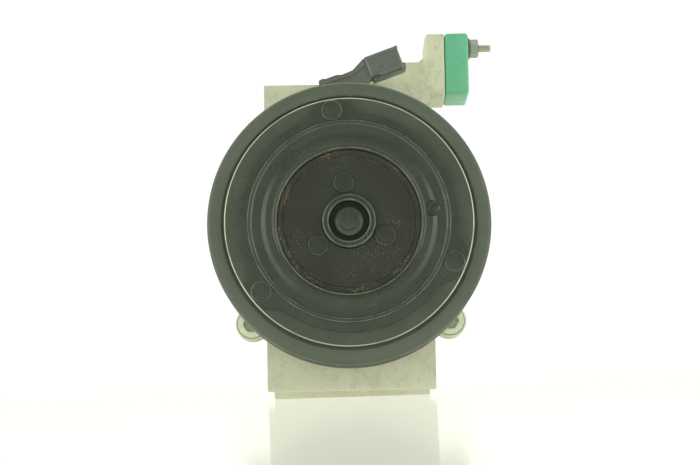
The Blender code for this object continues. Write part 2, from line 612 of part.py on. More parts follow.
def fixed_scroll():
    profile = [(4.0, 140.5), (51.5, 140.5), (51.5, 150.4), (4.0, 150.4)]
    scroll = turned("fixed_scroll", profile, "machined_aluminium", segments=36)
    wrap = slab("fixed_wrap", wrap_outline(1), 111.4, 141.5)
    port = rod("discharge_port", 4.0, 130.0, 160.0, segments=32)
    screw_hole = rod("reed_screw_hole", 2.3, 144.0, 155.0, centre=(0.0, 18.0), segments=12)
    posts = [rod(f"scroll_post_{i}", 6.2, 149.0, 192.7, centre=centre, segments=16)
             for i, centre in scroll_bolts()]
    threads = [rod(f"scroll_thread_{i}", BOLT_RADIUS + GAP, 176.0, 200.0, centre=centre, segments=12)
               for i, centre in scroll_bolts()]
    boolean(scroll, "UNION", wrap, *posts)
    boolean(scroll, "DIFFERENCE", port, screw_hole, *threads)

    thrust = ring("thrust_plate", 26.2, 51.2, 101.3, 104.3, "bright_steel", segments=40)
    for index in range(3):
        hole = rod(f"guide_hole_{index + 1}", GUIDE_PIN_RADIUS + GAP, 90.0, 115.0,
                   centre=polar(GUIDE_CIRCLE, 30.0 + 120.0 * index), segments=12)
        boolean(thrust, "DIFFERENCE", hole)


def discharge_valve():
    strip = [(-5.5, -5.5), (5.5, -5.5), (5.5, 22.0), (-5.5, 22.0)]
    reed = slab("discharge_reed", strip, 150.7, 151.2, "bright_steel")
    stop = slab("reed_stop", strip, 151.5, 153.0, "plated_steel")
    screw = rod("reed_screw", 2.0, 145.0, 154.0, "plated_steel", (0.0, 18.0), 12)
    head = rod("reed_screw_head", 4.0, 153.3, 156.0, centre=(0.0, 18.0), segments=6)
    boolean(screw, "UNION", head)
    for piece in (reed, stop):
        hole = rod(f"{piece.name}_hole", 2.3, 148.0, 158.0, centre=(0.0, 18.0), segments=12)
        boolean(piece, "DIFFERENCE", hole)


front_housing()
rear_housing()
casing_joints()
relief_valve()
manifold()
port_cap()
pulley()
field_coil()
connector()
clutch_hub()
armature()
drive_shaft()
eccentric_bush()
orbiting_scroll()
fixed_scroll()
discharge_valve()
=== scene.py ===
"""Looks of the automotive air-conditioning compressor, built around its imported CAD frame.

Places are given as (x, d, z) in millimetres, as in the CAD source: x and z from the shaft's axis,
d rearward from the plane of the clutch's front. The frame's own axes are +X right, +Y rearward, +Z up.
"""

import json
import math

import bmesh
import bpy
from mathutils import Matrix, Vector

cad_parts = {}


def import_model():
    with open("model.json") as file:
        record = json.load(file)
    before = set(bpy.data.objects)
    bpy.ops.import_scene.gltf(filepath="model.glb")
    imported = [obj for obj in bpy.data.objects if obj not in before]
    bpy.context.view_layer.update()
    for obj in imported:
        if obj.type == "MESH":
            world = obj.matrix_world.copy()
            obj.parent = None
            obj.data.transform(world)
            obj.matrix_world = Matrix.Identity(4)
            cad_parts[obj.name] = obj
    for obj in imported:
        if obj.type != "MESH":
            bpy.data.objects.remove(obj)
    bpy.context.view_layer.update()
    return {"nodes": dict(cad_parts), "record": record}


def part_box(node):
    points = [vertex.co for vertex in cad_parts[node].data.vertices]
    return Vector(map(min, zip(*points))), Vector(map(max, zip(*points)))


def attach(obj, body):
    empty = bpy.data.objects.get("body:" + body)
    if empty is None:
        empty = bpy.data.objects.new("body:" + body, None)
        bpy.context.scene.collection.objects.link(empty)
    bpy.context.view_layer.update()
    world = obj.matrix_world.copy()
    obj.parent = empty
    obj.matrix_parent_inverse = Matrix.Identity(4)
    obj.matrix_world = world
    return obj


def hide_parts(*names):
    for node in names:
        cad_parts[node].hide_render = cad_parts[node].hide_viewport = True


MM = 0.001
CENTRE = (0.0, 0.0, 0.0)
RIGHTWARD, REARWARD, UPWARD = (1.0, 0.0, 0.0), (0.0, 1.0, 0.0), (0.0, 0.0, 1.0)
SHARP_ANGLE = 32.0             # degrees; a sharper edge than this is not smoothed over

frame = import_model()

# -------------------- places read from the frame

_pulley_low, _pulley_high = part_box("pulley")
_cover_low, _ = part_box("hub_outer_ring")
SHAFT_X = (_pulley_low.x + _pulley_high.x) / 2
SHAFT_Z = (_pulley_low.z + _pulley_high.z) / 2
ORIGIN = Vector((SHAFT_X, _cover_low.y - 0.1 * MM, SHAFT_Z))


def world(x, d, z):
    """A place in the frame from (x, d, z) in millimetres."""
    return ORIGIN + Vector((x, d, z)) * MM


def extent(node):
    """The x, d and z ranges of a CAD node in millimetres."""
    low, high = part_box(node)
    low, high = (low - ORIGIN) / MM, (high - ORIGIN) / MM
    return (low.x, high.x), (low.y, high.y), (low.z, high.z)


def middle(node):
    return [sum(pair) / 2 for pair in extent(node)]


def placed(name, data):
    """A new object in the scene."""
    thing = bpy.data.objects.new(name, data)
    bpy.context.scene.collection.objects.link(thing)
    return thing


# -------------------- camera

VIEW_ELEVATION = -6.5          # degrees; the camera looks up at the nose
VIEW_ROLL = 1.0                # degrees
CAMERA_DISTANCE = 1.025        # metres from the point it is aimed at
LENS = 112.5
SENSOR_WIDTH = 36.0
AIM = world(0.3, 0.0, -5.9)


def add_camera():
    data = bpy.data.cameras.new("camera")
    data.lens = LENS
    data.sensor_width = SENSOR_WIDTH
    data.clip_end = 50.0
    camera = placed("camera", data)
    elevation = math.radians(VIEW_ELEVATION)
    back = Vector((0.0, -math.cos(elevation), math.sin(elevation)))
    camera.location = AIM + back * CAMERA_DISTANCE
    camera.rotation_mode = "QUATERNION"
    roll = Matrix.Rotation(math.radians(-VIEW_ROLL), 4, "Z").to_quaternion()
    camera.rotation_quaternion = (-back).to_track_quat("-Z", "Y") @ roll
    bpy.context.scene.camera = camera
    bpy.context.scene.view_settings.view_transform = "Standard"


add_camera()


# -------------------- materials

def add_node(tree, kind, inputs=None, **settings):
    """A new shader node; each of its inputs is joined to a socket or set to a value."""
    node = tree.nodes.new("ShaderNode" + kind)
    for key, value in settings.items():
        setattr(node, key, value)
    for key, value in (inputs or {}).items():
        if isinstance(value, bpy.types.NodeSocket):
            tree.links.new(value, node.inputs[key])
        else:
            node.inputs[key].default_value = value
    return node


class Surface:
    """A Principled material whose colour, roughness and bump are built up layer by layer."""

    def __init__(self, name, colour, roughness, metallic=0.0, specular=0.5):
        self.material = bpy.data.materials.new(name)
        self.material.use_nodes = True
        self.tree = self.material.node_tree
        self.shader = self.tree.nodes["Principled BSDF"]
        for key, value in (("Base Color", (*colour, 1.0)), ("Roughness", roughness),
                           ("Metallic", metallic), ("Specular IOR Level", specular)):
            self.shader.inputs[key].default_value = value
        self.place = self.node("TexCoord").outputs["Object"]
        self.tint = (*colour, 1.0)
        self.normal = None

    def node(self, kind, inputs=None, **settings):
        return add_node(self.tree, kind, inputs, **settings)

    def noise(self, size, detail=3.0, stretch=None):
        """Noise whose features are about size millimetres across."""
        vector = self.place
        if stretch:
            vector = self.node("Mapping", {"Scale": stretch, "Vector": vector}).outputs["Vector"]
        scale = 1.0 / (size * MM)
        return self.node("TexNoise", {"Scale": scale, "Detail": detail, "Vector": vector}).outputs["Fac"]

    def radial_lines(self, pitch):
        """Noise that changes with the distance from the shaft's axis only, as lathe marks do."""
        flat = self.node("VectorMath", {0: self.place, 1: ORIGIN}, operation="SUBTRACT")
        across = self.node("VectorMath", {0: flat.outputs["Vector"], 1: (1.0, 0.0, 1.0)},
                           operation="MULTIPLY")
        radius = self.node("VectorMath", {0: across.outputs["Vector"]}, operation="LENGTH")
        inputs = {"Scale": 1.0 / (pitch * MM), "Detail": 2.0, "W": radius.outputs["Value"]}
        return self.node("TexNoise", inputs, noise_dimensions="1D").outputs["Fac"]

    def window(self, value, low, high):
        """Zero below low, one above high, and smooth between."""
        inputs = {"From Min": low, "From Max": high, "Value": value}
        return self.node("MapRange", inputs, interpolation_type="SMOOTHSTEP").outputs["Result"]

    def both(self, a, b):
        """High only where both masks are."""
        return self.node("Math", {0: a, 1: b}, operation="MULTIPLY").outputs["Value"]

    def stain(self, mask, colour, strength):
        """Blend a colour over what is there, where the mask is high."""
        weight = self.node("Math", {0: mask, 1: strength}, operation="MULTIPLY").outputs["Value"]
        inputs = {"Factor": weight, "A": self.tint, "B": (*colour, 1.0)}
        self.tint = self.node("Mix", inputs, data_type="RGBA").outputs["Result"]
        return self

    def mottle(self, grain, band, colour, strength):
        """Stain patches of noise; grain is its size and detail, band the noise where a patch begins."""
        return self.stain(self.window(self.noise(*grain), *band), colour, strength)

    def rub_and_highlight(self, band, colour, strength):
        """Lighten the convex edges: partly rubbed wear, partly a painted highlight."""
        edges = self.node("NewGeometry").outputs["Pointiness"]
        return self.stain(self.window(edges, *band), colour, strength)

    def gloss(self, grain, low, high):
        """Let the roughness run from low to high with noise."""
        inputs = {"From Min": 0.3, "From Max": 0.7, "To Min": low, "To Max": high,
                  "Value": self.noise(*grain)}
        remap = self.node("MapRange", inputs)
        self.tree.links.new(remap.outputs["Result"], self.shader.inputs["Roughness"])
        return self

    def bump(self, height, depth):
        """Raise the surface by depth millimetres where height is one."""
        inputs = {"Strength": 1.0, "Distance": depth * MM, "Height": height}
        if self.normal is not None:
            inputs["Normal"] = self.normal
        self.normal = self.node("Bump", inputs).outputs["Normal"]
        return self

    def grain(self, size, detail, depth, stretch=None):
        return self.bump(self.noise(size, detail, stretch), depth)

    def done(self):
        """Join what was built up to the shader and give back the material."""
        self.tree.links.new(self.tint, self.shader.inputs["Base Color"])
        self.tree.links.new(self.normal, self.shader.inputs["Normal"])
        return self.material


def cast_aluminium():
    """Sand-grained die casting, dull and slightly yellow-green, its edges lighter with rubbed wear and a
    painted highlight.
    """
    s = Surface("cast_aluminium", (0.66, 0.665, 0.52), 0.6, 0.2, 0.35)
    s.mottle((26.0, 4.0), (0.42, 0.66), (0.72, 0.71, 0.57), 0.5)
    s.mottle((9.0, 5.0), (0.5, 0.68), (0.50, 0.53, 0.40), 0.4)
    s.mottle((1.3, 2.0), (0.54, 0.68), (0.44, 0.47, 0.35), 0.3)
    # Lighter edges: rubbed wear and a painted highlight.
    s.rub_and_highlight((0.53, 0.6), (0.80, 0.83, 0.69), 0.5)
    s.stain(s.window(s.both(s.noise(60.0), s.noise(3.0, 4.0)), 0.3, 0.4), (0.44, 0.42, 0.28), 0.3)
    return s.gloss((7.0,), 0.5, 0.68).grain(0.9, 2.0, 0.16).grain(6.0, 3.0, 0.35).done()


def clutch_black(name, level, gloss):
    """Pressed and turned clutch steel: satin black coating with dust and scuffs."""
    colour = tuple(level * share for share in (0.93, 1.12, 0.78))
    s = Surface(name, colour, gloss, 0.0, 0.6)
    s.mottle((18.0, 4.0), (0.4, 0.7), tuple(1.35 * value for value in colour), 0.7)
    s.mottle((0.8, 2.0), (0.52, 0.72), tuple(0.02 + 1.5 * value for value in colour), 0.35)
    dust = s.both(s.window(s.noise(22.0, 2.0), 0.5, 0.66), s.window(s.noise(0.45, 1.0), 0.66, 0.72))
    s.stain(dust, (0.36, 0.34, 0.24), 0.5)
    return s.gloss((5.0,), gloss - 0.07, gloss + 0.08).grain(0.6, 2.0, 0.012).done()


def pulley_black():
    """The pulley's e-coat: smoother than the clutch steel, a little lighter and glossier."""
    s = Surface("pulley_black", (0.086, 0.102, 0.076), 0.5, 0.0, 0.45)
    s.mottle((30.0, 3.0), (0.4, 0.7), (0.112, 0.122, 0.1), 0.6)
    # Lighter edges: rubbed wear and a painted highlight.
    s.rub_and_highlight((0.54, 0.64), (0.25, 0.27, 0.22), 0.5)
    s.mottle((0.5, 1.0), (0.68, 0.76), (0.3, 0.3, 0.25), 0.35)
    return s.gloss((9.0,), 0.44, 0.58).grain(0.6, 2.0, 0.02).bump(s.radial_lines(0.4), 0.01).done()


def bright_steel():
    """Ground bearing steel with lathe marks."""
    s = Surface("bright_steel", (0.62, 0.65, 0.55), 0.3, 0.75)
    s.mottle((6.0, 4.0), (0.5, 0.72), (0.48, 0.5, 0.42), 0.5)
    return s.gloss((1.2,), 0.22, 0.38).bump(s.radial_lines(0.3), 0.008).done()


def green_plastic():
    """The cap's polyethylene: soft satin green with faint flow marks, its corners lighter with rubbed wear
    and a painted highlight.
    """
    s = Surface("green_plastic", (0.125, 0.46, 0.275), 0.42, 0.0, 0.45)
    s.mottle((14.0, 3.0, (1.0, 1.0, 0.4)), (0.4, 0.7), (0.165, 0.51, 0.325), 0.7)
    s.mottle((2.2, 4.0), (0.56, 0.72), (0.10, 0.38, 0.24), 0.35)
    # Lighter corners: rubbed wear and a painted highlight.
    s.rub_and_highlight((0.52, 0.58), (0.26, 0.62, 0.42), 0.6)
    s.shader.inputs["Subsurface Weight"].default_value = 0.12
    s.shader.inputs["Subsurface Radius"].default_value = (0.001, 0.002, 0.001)
    return s.gloss((4.0,), 0.34, 0.5).grain(1.2, 3.0, 0.03).done()


def rubber():
    """Moulded rubber, matte black with crumbs of tan flash along the bonded edges."""
    s = Surface("rubber", (0.038, 0.037, 0.029), 0.75, 0.0, 0.4)
    crumbs = s.both(s.window(s.noise(0.9, 2.0), 0.5, 0.62), s.window(s.noise(14.0, 2.0), 0.4, 0.6))
    return s.stain(crumbs, (0.22, 0.19, 0.11), 0.6).grain(0.8, 3.0, 0.12).done()


LOOKS = {
    "cast_aluminium": cast_aluminium(),
    # Faced and bored surfaces of the castings: bright, with fine cutter marks.
    "machined_aluminium": Surface("machined_aluminium", (0.76, 0.78, 0.68), 0.36, 0.55)
    .mottle((14.0, 3.0), (0.45, 0.7), (0.64, 0.66, 0.56), 0.5)
    .gloss((0.5, 2.0, (1.0, 1.0, 12.0)), 0.28, 0.46)
    .grain(0.35, 1.0, 0.012, (1.0, 1.0, 20.0)).done(),
    "black_clutch": clutch_black("black_clutch", 0.052, 0.4),
    "bright_steel": bright_steel(),
    # Zinc-plated screws and nut: pale grey with a faint mottled passivation.
    "plated_steel": Surface("plated_steel", (0.62, 0.66, 0.57), 0.34, 0.7)
    .mottle((3.0, 3.0), (0.45, 0.7), (0.5, 0.54, 0.44), 0.6)
    .mottle((0.7, 2.0), (0.6, 0.72), (0.36, 0.38, 0.31), 0.4)
    .gloss((1.5,), 0.26, 0.45).grain(0.5, 2.0, 0.012).done(),
    # Glass-filled nylon: dark grey, finely grained, paler along its edges with handling wear and a painted
    # highlight.
    "black_plastic": Surface("black_plastic", (0.118, 0.13, 0.118), 0.46)
    .mottle((8.0, 4.0), (0.42, 0.7), (0.15, 0.162, 0.148), 0.6)
    # Paler edges: handling wear and a painted highlight.
    .rub_and_highlight((0.53, 0.6), (0.24, 0.26, 0.235), 0.6)
    .gloss((3.0,), 0.4, 0.56).grain(0.35, 2.0, 0.02).done(),
    "green_plastic": green_plastic(),
    "rubber": rubber(),
    "brass": Surface("brass", (0.6, 0.45, 0.2), 0.32, 0.85)
    .mottle((3.0, 4.0), (0.45, 0.7), (0.46, 0.33, 0.14), 0.6).grain(0.4, 2.0, 0.01).done(),
    "coil_resin": Surface("coil_resin", (0.07, 0.068, 0.062), 0.5)
    .mottle((5.0, 4.0), (0.45, 0.7), (0.1, 0.095, 0.085), 0.6).grain(1.5, 3.0, 0.06).done(),
}
PULLEY_BLACK = pulley_black()
# The armature's turned rim, left unpainted: pale, oiled steel.
BARE_RIM = (Surface("bare_rim", (0.50, 0.56, 0.42), 0.28, 0.75)
            .mottle((9.0, 3.0), (0.5, 0.65), (0.3, 0.34, 0.25), 0.6).grain(0.4, 1.0, 0.01).done())
# Oil-blackened fastener steel, greyer than the clutch's coating.
DARK_STEEL = (Surface("dark_steel", (0.085, 0.098, 0.078), 0.36, 0.3)
              .mottle((2.5, 3.0), (0.45, 0.7), (0.06, 0.066, 0.054), 0.6)
              # Lighter edges: rubbed wear and a painted highlight.
              .rub_and_highlight((0.53, 0.6), (0.26, 0.29, 0.24), 0.6).grain(0.5, 2.0, 0.012).done())
COVER_BLACK = clutch_black("cover_black", 0.032, 0.31)
DISC_BLACK = clutch_black("disc_black", 0.017, 0.5)
# Painted shade for the hub's deep recess: near black, darker than any coating.
PAINTED_RECESS_SHADE = clutch_black("painted_recess_shade", 0.008, 0.6)
# A painted highlight: the light caught along the clutch's pressed and turned edges, laid into the colour as
# thin pale rings.
PAINTED_EDGE_HIGHLIGHT = (Surface("painted_edge_highlight", (0.145, 0.165, 0.125), 0.36, 0.2)
             .mottle((6.0, 4.0), (0.45, 0.6), (0.07, 0.082, 0.06), 0.7).grain(0.5, 2.0, 0.01).done())
# The cap nut's old zinc: grey, nearly matt.
DULL_ZINC = (Surface("dull_zinc", (0.27, 0.3, 0.255), 0.42, 0.35)
             .mottle((2.5, 3.0), (0.45, 0.7), (0.21, 0.23, 0.2), 0.6)
             # Lighter edges: rubbed wear and a painted highlight.
             .rub_and_highlight((0.53, 0.6), (0.42, 0.46, 0.4), 0.5).grain(0.5, 2.0, 0.012).done())
# The housing screws' bright passivated heads.
PALE_ZINC = (Surface("pale_zinc", (0.80, 0.84, 0.68), 0.4, 0.2)
             .mottle((2.5, 3.0), (0.45, 0.7), (0.66, 0.69, 0.55), 0.5).grain(0.6, 2.0, 0.012).done())
CAST, MACHINED = LOOKS["cast_aluminium"], LOOKS["machined_aluminium"]
PLATED = LOOKS["plated_steel"]


def dress_frame():
    """Every CAD node keeps its own slot's finish, so inner pieces that stay visible have one too."""
    for sub in frame["record"]["subparts"]:
        node = frame["nodes"][sub["node"]]
        node.data.materials.clear()
        node.data.materials.append(LOOKS[sub["material_slot"]])


dress_frame()


# -------------------- mesh helpers

def piece_from(shape, name, *materials):
    """Make an object of a bmesh whose vertices are already places in the frame."""
    mesh = bpy.data.meshes.new(name)
    bmesh.ops.recalc_face_normals(shape, faces=shape.faces)
    shape.to_mesh(mesh)
    shape.free()
    piece = placed(name, mesh)
    for material in materials:
        mesh.materials.append(material)
    return piece


def smooth(piece, angle=SHARP_ANGLE):
    piece.data.shade_smooth()
    piece.data.set_sharp_from_angle(angle=math.radians(angle))
    return piece


def settle(piece):
    """Turn a piece's modifiers into its mesh."""
    graph = bpy.context.evaluated_depsgraph_get()
    mesh = bpy.data.meshes.new_from_object(piece.evaluated_get(graph))
    piece.modifiers.clear()
    piece.data = mesh
    return piece


FILLET_STEPS = 4
FILLET_SHARE = 0.48            # of each neighbouring edge, so that two fillets never meet


def filleted(profile, closed=True):
    """Replace each (r, t, radius) corner of a profile by a short arc."""
    points = []
    count = len(profile)
    for index, corner in enumerate(profile):
        radius = corner[2] if len(corner) > 2 else 0.0
        here = Vector(corner[:2])
        inner = closed or 0 < index < count - 1
        if radius <= 0.0 or not inner:
            points.append(here)
            continue
        before = Vector(profile[index - 1][:2]) - here
        after = Vector(profile[(index + 1) % count][:2]) - here
        turn = before.angle(after)
        reach = min(radius / math.tan(turn / 2), FILLET_SHARE * before.length, FILLET_SHARE * after.length)
        start, end = here + before.normalized() * reach, here + after.normalized() * reach
        for step in range(FILLET_STEPS + 1):
            t = step / FILLET_STEPS
            points.append(start * (1 - t) ** 2 + here * (2 * t * (1 - t)) + end * t ** 2)
    return points


def lathe(name, profile, material, place=CENTRE, axis=REARWARD, segments=160, closed=True, spin=0.0,
          swell=None):
    """Turn a profile of (radius, t[, fillet]) about the line through place along axis.

    swell(radius, angle) may change the radius with the angle, for lobes.
    """
    points = filleted(profile, closed)
    along = Vector(axis).normalized()
    side = along.orthogonal().normalized() if abs(along.y) < 0.9 else Vector(RIGHTWARD)
    up = along.cross(side) * (-1.0 if along.y > 0.9 else 1.0)
    base = world(*place)
    shape = bmesh.new()
    rings = []
    for step in range(segments):
        angle = 2 * math.pi * step / segments + spin
        out = side * math.cos(angle) + up * math.sin(angle)
        ring = []
        for radius, t in points:
            if swell:
                radius = swell(radius, math.degrees(angle) % 360.0)
            ring.append(shape.verts.new(base + (out * radius + along * t) * MM))
        rings.append(ring)
    spans = len(points) if closed else len(points) - 1
    for step in range(segments):
        this, following = rings[step], rings[(step + 1) % segments]
        for i in range(spans):
            j = (i + 1) % len(points)
            shape.faces.new((this[i], this[j], following[j], following[i]))
    bmesh.ops.remove_doubles(shape, verts=shape.verts, dist=0.000001)
    return smooth(piece_from(shape, name, material))


def turned(name, profile, material, place=CENTRE, axis=REARWARD, segments=64, spin=0.0):
    """A solid of revolution, whose profile starts and ends on its axis."""
    return lathe(name, profile, material, place, axis, segments, False, spin)


def rod(name, radius, start, end, material, place=CENTRE, axis=REARWARD, segments=48, edge=0.3, spin=0.0):
    """A solid cylinder or prism with softened ends."""
    profile = [(0.0, start), (radius, start, edge), (radius, end, edge), (0.0, end)]
    return turned(name, profile, material, place, axis, segments, spin)


def box(name, x, d, z, material, bevel=0.6, steps=3, turn=None):
    """A block between pairs of x, d and z, with rounded edges; turn places it by a matrix instead."""
    low, high = Vector((x[0], d[0], z[0])), Vector((x[1], d[1], z[1]))
    centre, size = (low + high) / 2, high - low
    shape = bmesh.new()
    bmesh.ops.create_cube(shape, size=1.0, matrix=Matrix.Diagonal((*(size * MM), 1.0)))
    if bevel:
        bmesh.ops.bevel(shape, geom=shape.edges[:], offset=bevel * MM, segments=steps, profile=0.5,
                        affect="EDGES")
    if turn is None:
        bmesh.ops.transform(shape, matrix=Matrix.Translation(world(*centre)), verts=shape.verts)
    else:
        bmesh.ops.transform(shape, matrix=turn @ Matrix.Translation(centre * MM), verts=shape.verts)
    return smooth(piece_from(shape, name, material))


def prism(name, outline, d, material, bevel=0.5, steps=2):
    """An outline of (x, z) points, as thick as d[0]..d[1]."""
    shape = bmesh.new()
    front = [shape.verts.new(world(x, d[0], z)) for x, z in outline]
    face = shape.faces.new(front)
    grown = bmesh.ops.extrude_face_region(shape, geom=[face])
    moved = [item for item in grown["geom"] if isinstance(item, bmesh.types.BMVert)]
    bmesh.ops.translate(shape, verts=moved, vec=(0.0, (d[1] - d[0]) * MM, 0.0))
    if bevel:
        bmesh.ops.bevel(shape, geom=shape.edges[:], offset=bevel * MM, segments=steps, profile=0.5,
                        affect="EDGES")
    return smooth(piece_from(shape, name, material))


def joined(name, parts):
    """Put several pieces' meshes into one object, keeping each one's materials."""
    shape = bmesh.new()
    slots = []
    for part in parts:
        lookup = []
        for material in part.data.materials:
            if material not in slots:
                slots.append(material)
            lookup.append(slots.index(material))
        start = len(shape.faces)
        shape.from_mesh(part.data)
        shape.faces.ensure_lookup_table()
        for face in shape.faces[start:]:
            face.material_index = lookup[face.material_index] if lookup else 0
        bpy.data.objects.remove(part, do_unlink=True)
    mesh = bpy.data.meshes.new(name)
    shape.to_mesh(mesh)
    shape.free()
    piece = placed(name, mesh)
    for material in slots:
        mesh.materials.append(material)
    return smooth(piece)


def cut(piece, *tools, operation="DIFFERENCE"):
    """Apply each tool to the piece; a cut face takes the tool's own material."""
    for tool in tools:
        modifier = piece.modifiers.new(tool.name, "BOOLEAN")
        modifier.operation = operation
        modifier.solver = "MANIFOLD"
        modifier.material_mode = "TRANSFER"
        modifier.object = tool
    settle(piece)
    for tool in tools:
        bpy.data.objects.remove(tool, do_unlink=True)
    return smooth(piece)


def casting(name, parts, voxel, passes=5):
    """Melt overlapping shapes into one skin with soft inner and outer corners, as in a die casting."""
    piece = joined(name, parts)
    remesh = piece.modifiers.new("skin", "REMESH")
    remesh.mode = "VOXEL"
    remesh.voxel_size = voxel * MM
    relax = piece.modifiers.new("soften", "SMOOTH")
    relax.factor = 0.5
    relax.iterations = passes
    settle(piece)
    piece.data.materials.clear()
    piece.data.materials.append(CAST)
    return smooth(piece, 60.0)


def paint(piece, material, rule):
    """Give a material to the faces whose centre (radius, d, x, z) fits the rule."""
    piece.data.materials.append(material)
    index = len(piece.data.materials) - 1
    for face in piece.data.polygons:
        x, d, z = (face.center - ORIGIN) / MM
        if rule(math.hypot(x, z), d, x, z):
            face.material_index = index
    return piece


def install(piece, body, slot, *nodes):
    """Ride the piece on its body in place of its CAD nodes."""
    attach(piece, body)
    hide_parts(*nodes)
    return piece


def polar(radius, degrees):
    return radius * math.cos(math.radians(degrees)), radius * math.sin(math.radians(degrees))


# -------------------- housings

BOSS_X = 41.75                 # half the length of every mounting boss
BOSS_HALF_DEPTH = 10.0
BOSS_HOLE_Z = 64.5
BORE_RADIUS, BORE_MOUTH = 5.25, 6.6
BODY_RADIUS = 58.0
FOOT = -extent("front_housing")[2][0]
FRONT_BOSS_D = 75.0
REAR_BOSS_D = 169.0
JOINT_D = extent("front_housing")[1][1]
REAR_START = extent("rear_housing")[1][0]
EAR_START = extent("housing_screw_1")[1][0]
SEAM = 2.0                     # how far a casting's blank runs past its joint before it is faced
EARS = [middle(f"housing_screw_{index}") for index in range(1, 5)]
REAR_BOLTS = [middle(f"scroll_bolt_{index}") for index in range(1, 4)]
VALVE_PLACE = (middle("relief_valve")[0], 0.0, middle("relief_valve")[2])
MANIFOLD_SCREWS = [middle(f"manifold_screw_{index}") for index in (1, 2)]


def leaning(name, x, z, length, width, d):
    """A rib that points from the shaft's axis through (x, z)."""
    turn = Matrix.Translation(world(x, sum(d) / 2, z)) @ Matrix.Rotation(-math.atan2(z, x), 4, "Y")
    half = (d[1] - d[0]) / 2
    return box(name, (-length / 2, length / 2), (-half, half), (-width / 2, width / 2), CAST, 0.0,
               turn=turn)


def boss_blocks(d):
    """Both bosses at one station, a little too long, so that their faces can be machined back."""
    parts = []
    for sign in (1, -1):
        z = sorted((sign * 34.0, sign * (FOOT + 0.9)))
        parts.append(box("boss", (-BOSS_X - 1.5, BOSS_X + 1.5),
                         (d - BOSS_HALF_DEPTH, d + BOSS_HALF_DEPTH), z, CAST, 0.8))
    return parts


def boss_machining(d):
    """Bolt bores with chamfered mouths, faced ends and the flat feet."""
    tools = []
    for sign in (1, -1):
        bore = [(0.0, -50.0), (BORE_MOUTH, -50.0), (BORE_MOUTH, -BOSS_X - 0.1),
                (BORE_RADIUS, -BOSS_X + 1.2), (BORE_RADIUS, BOSS_X - 1.2), (BORE_MOUTH, BOSS_X + 0.1),
                (BORE_MOUTH, 50.0), (0.0, 50.0)]
        tools.append(turned("bore", bore, MACHINED, (0.0, d, sign * BOSS_HOLE_Z), RIGHTWARD))
        for side in (1, -1):
            tools.append(box("face", sorted((side * BOSS_X, side * 70.0)), (d - 14.0, d + 14.0),
                             sorted((sign * 50.0, sign * 90.0)), MACHINED, 0.0))
        tools.append(box("foot", (-60.0, 60.0), (d - 16.0, d + 16.0), sorted((sign * FOOT, sign * 90.0)),
                         CAST, 0.0))
    return tools


def side_ribs(start, end, reach):
    """Shallow lengthwise stiffeners on both flanks of a housing."""
    parts = []
    for angle in (-24.0, 0.0, 24.0, 156.0, 180.0, 204.0):
        x, z = polar(reach, angle)
        parts.append(leaning("rib", x, z, 6.0, 3.0, (start, end)))
    return parts


def front_housing():
    outline = [(0.0, 45.0), (BODY_RADIUS, 45.0, 2.5), (BODY_RADIUS, 96.0), (59.2, 97.5),
               (59.2, JOINT_D + SEAM), (0.0, JOINT_D + SEAM)]
    parts = [turned("body", outline, CAST, segments=180)]
    parts += boss_blocks(FRONT_BOSS_D) + side_ribs(50.0, 97.0, 56.6)
    for x, _, z in EARS:
        parts += [rod("ear", 8.5, EAR_START - 0.2, JOINT_D + SEAM, CAST, (x, 0.0, z), edge=1.4),
                  leaning("ear_rib", 0.86 * x, 0.86 * z, 17.0, 15.0, (EAR_START + 0.6, JOINT_D + SEAM)),
                  leaning("ear_web", 0.84 * x, 0.84 * z, 16.0, 5.0, (62.0, EAR_START + 4.0))]
    piece = casting("front_housing_casting", parts, 0.9)
    hollow = [(0.0, 10.0), (11.3, 10.0), (11.3, 42.0), (14.3, 42.0), (14.3, 62.0), (36.3, 62.0),
              (36.3, 79.0), (46.0, 79.0), (46.0, 101.0), (51.5, 101.0), (51.5, 110.0), (0.0, 110.0)]
    tools = [turned("hollow", hollow, MACHINED, segments=128)] + boss_machining(FRONT_BOSS_D)
    tools.append(box("joint", (-90.0, 90.0), (JOINT_D, 120.0), (-90.0, 90.0), MACHINED, 0.0))
    for x, _, z in EARS:
        seat = [(0.0, 70.0), (7.6, 70.0), (7.6, EAR_START + 0.2), (7.3, EAR_START + 0.5),
                (7.3, EAR_START + 7.0), (4.5, EAR_START + 7.0), (4.5, 120.0), (0.0, 120.0)]
        tools.append(turned("seat", seat, MACHINED, (x, 0.0, z)))
    cut(piece, *tools)
    nose = [(11.3, 17.5, 0.3), (15.9, 17.5, 0.3), (17.5, 18.6, 0.2), (16.3, 18.6), (16.3, 20.0),
            (17.5, 20.0), (17.5, 38.6, 0.6), (22.0, 38.6, 0.3), (22.0, 40.3), (20.6, 40.3),
            (20.6, 41.9), (22.0, 41.9), (22.0, 46.5), (11.3, 46.5)]
    piece = joined("front_housing_shell", [piece, lathe("nose", nose, MACHINED)])
    install(piece, "casing", "cast_aluminium", "front_housing")


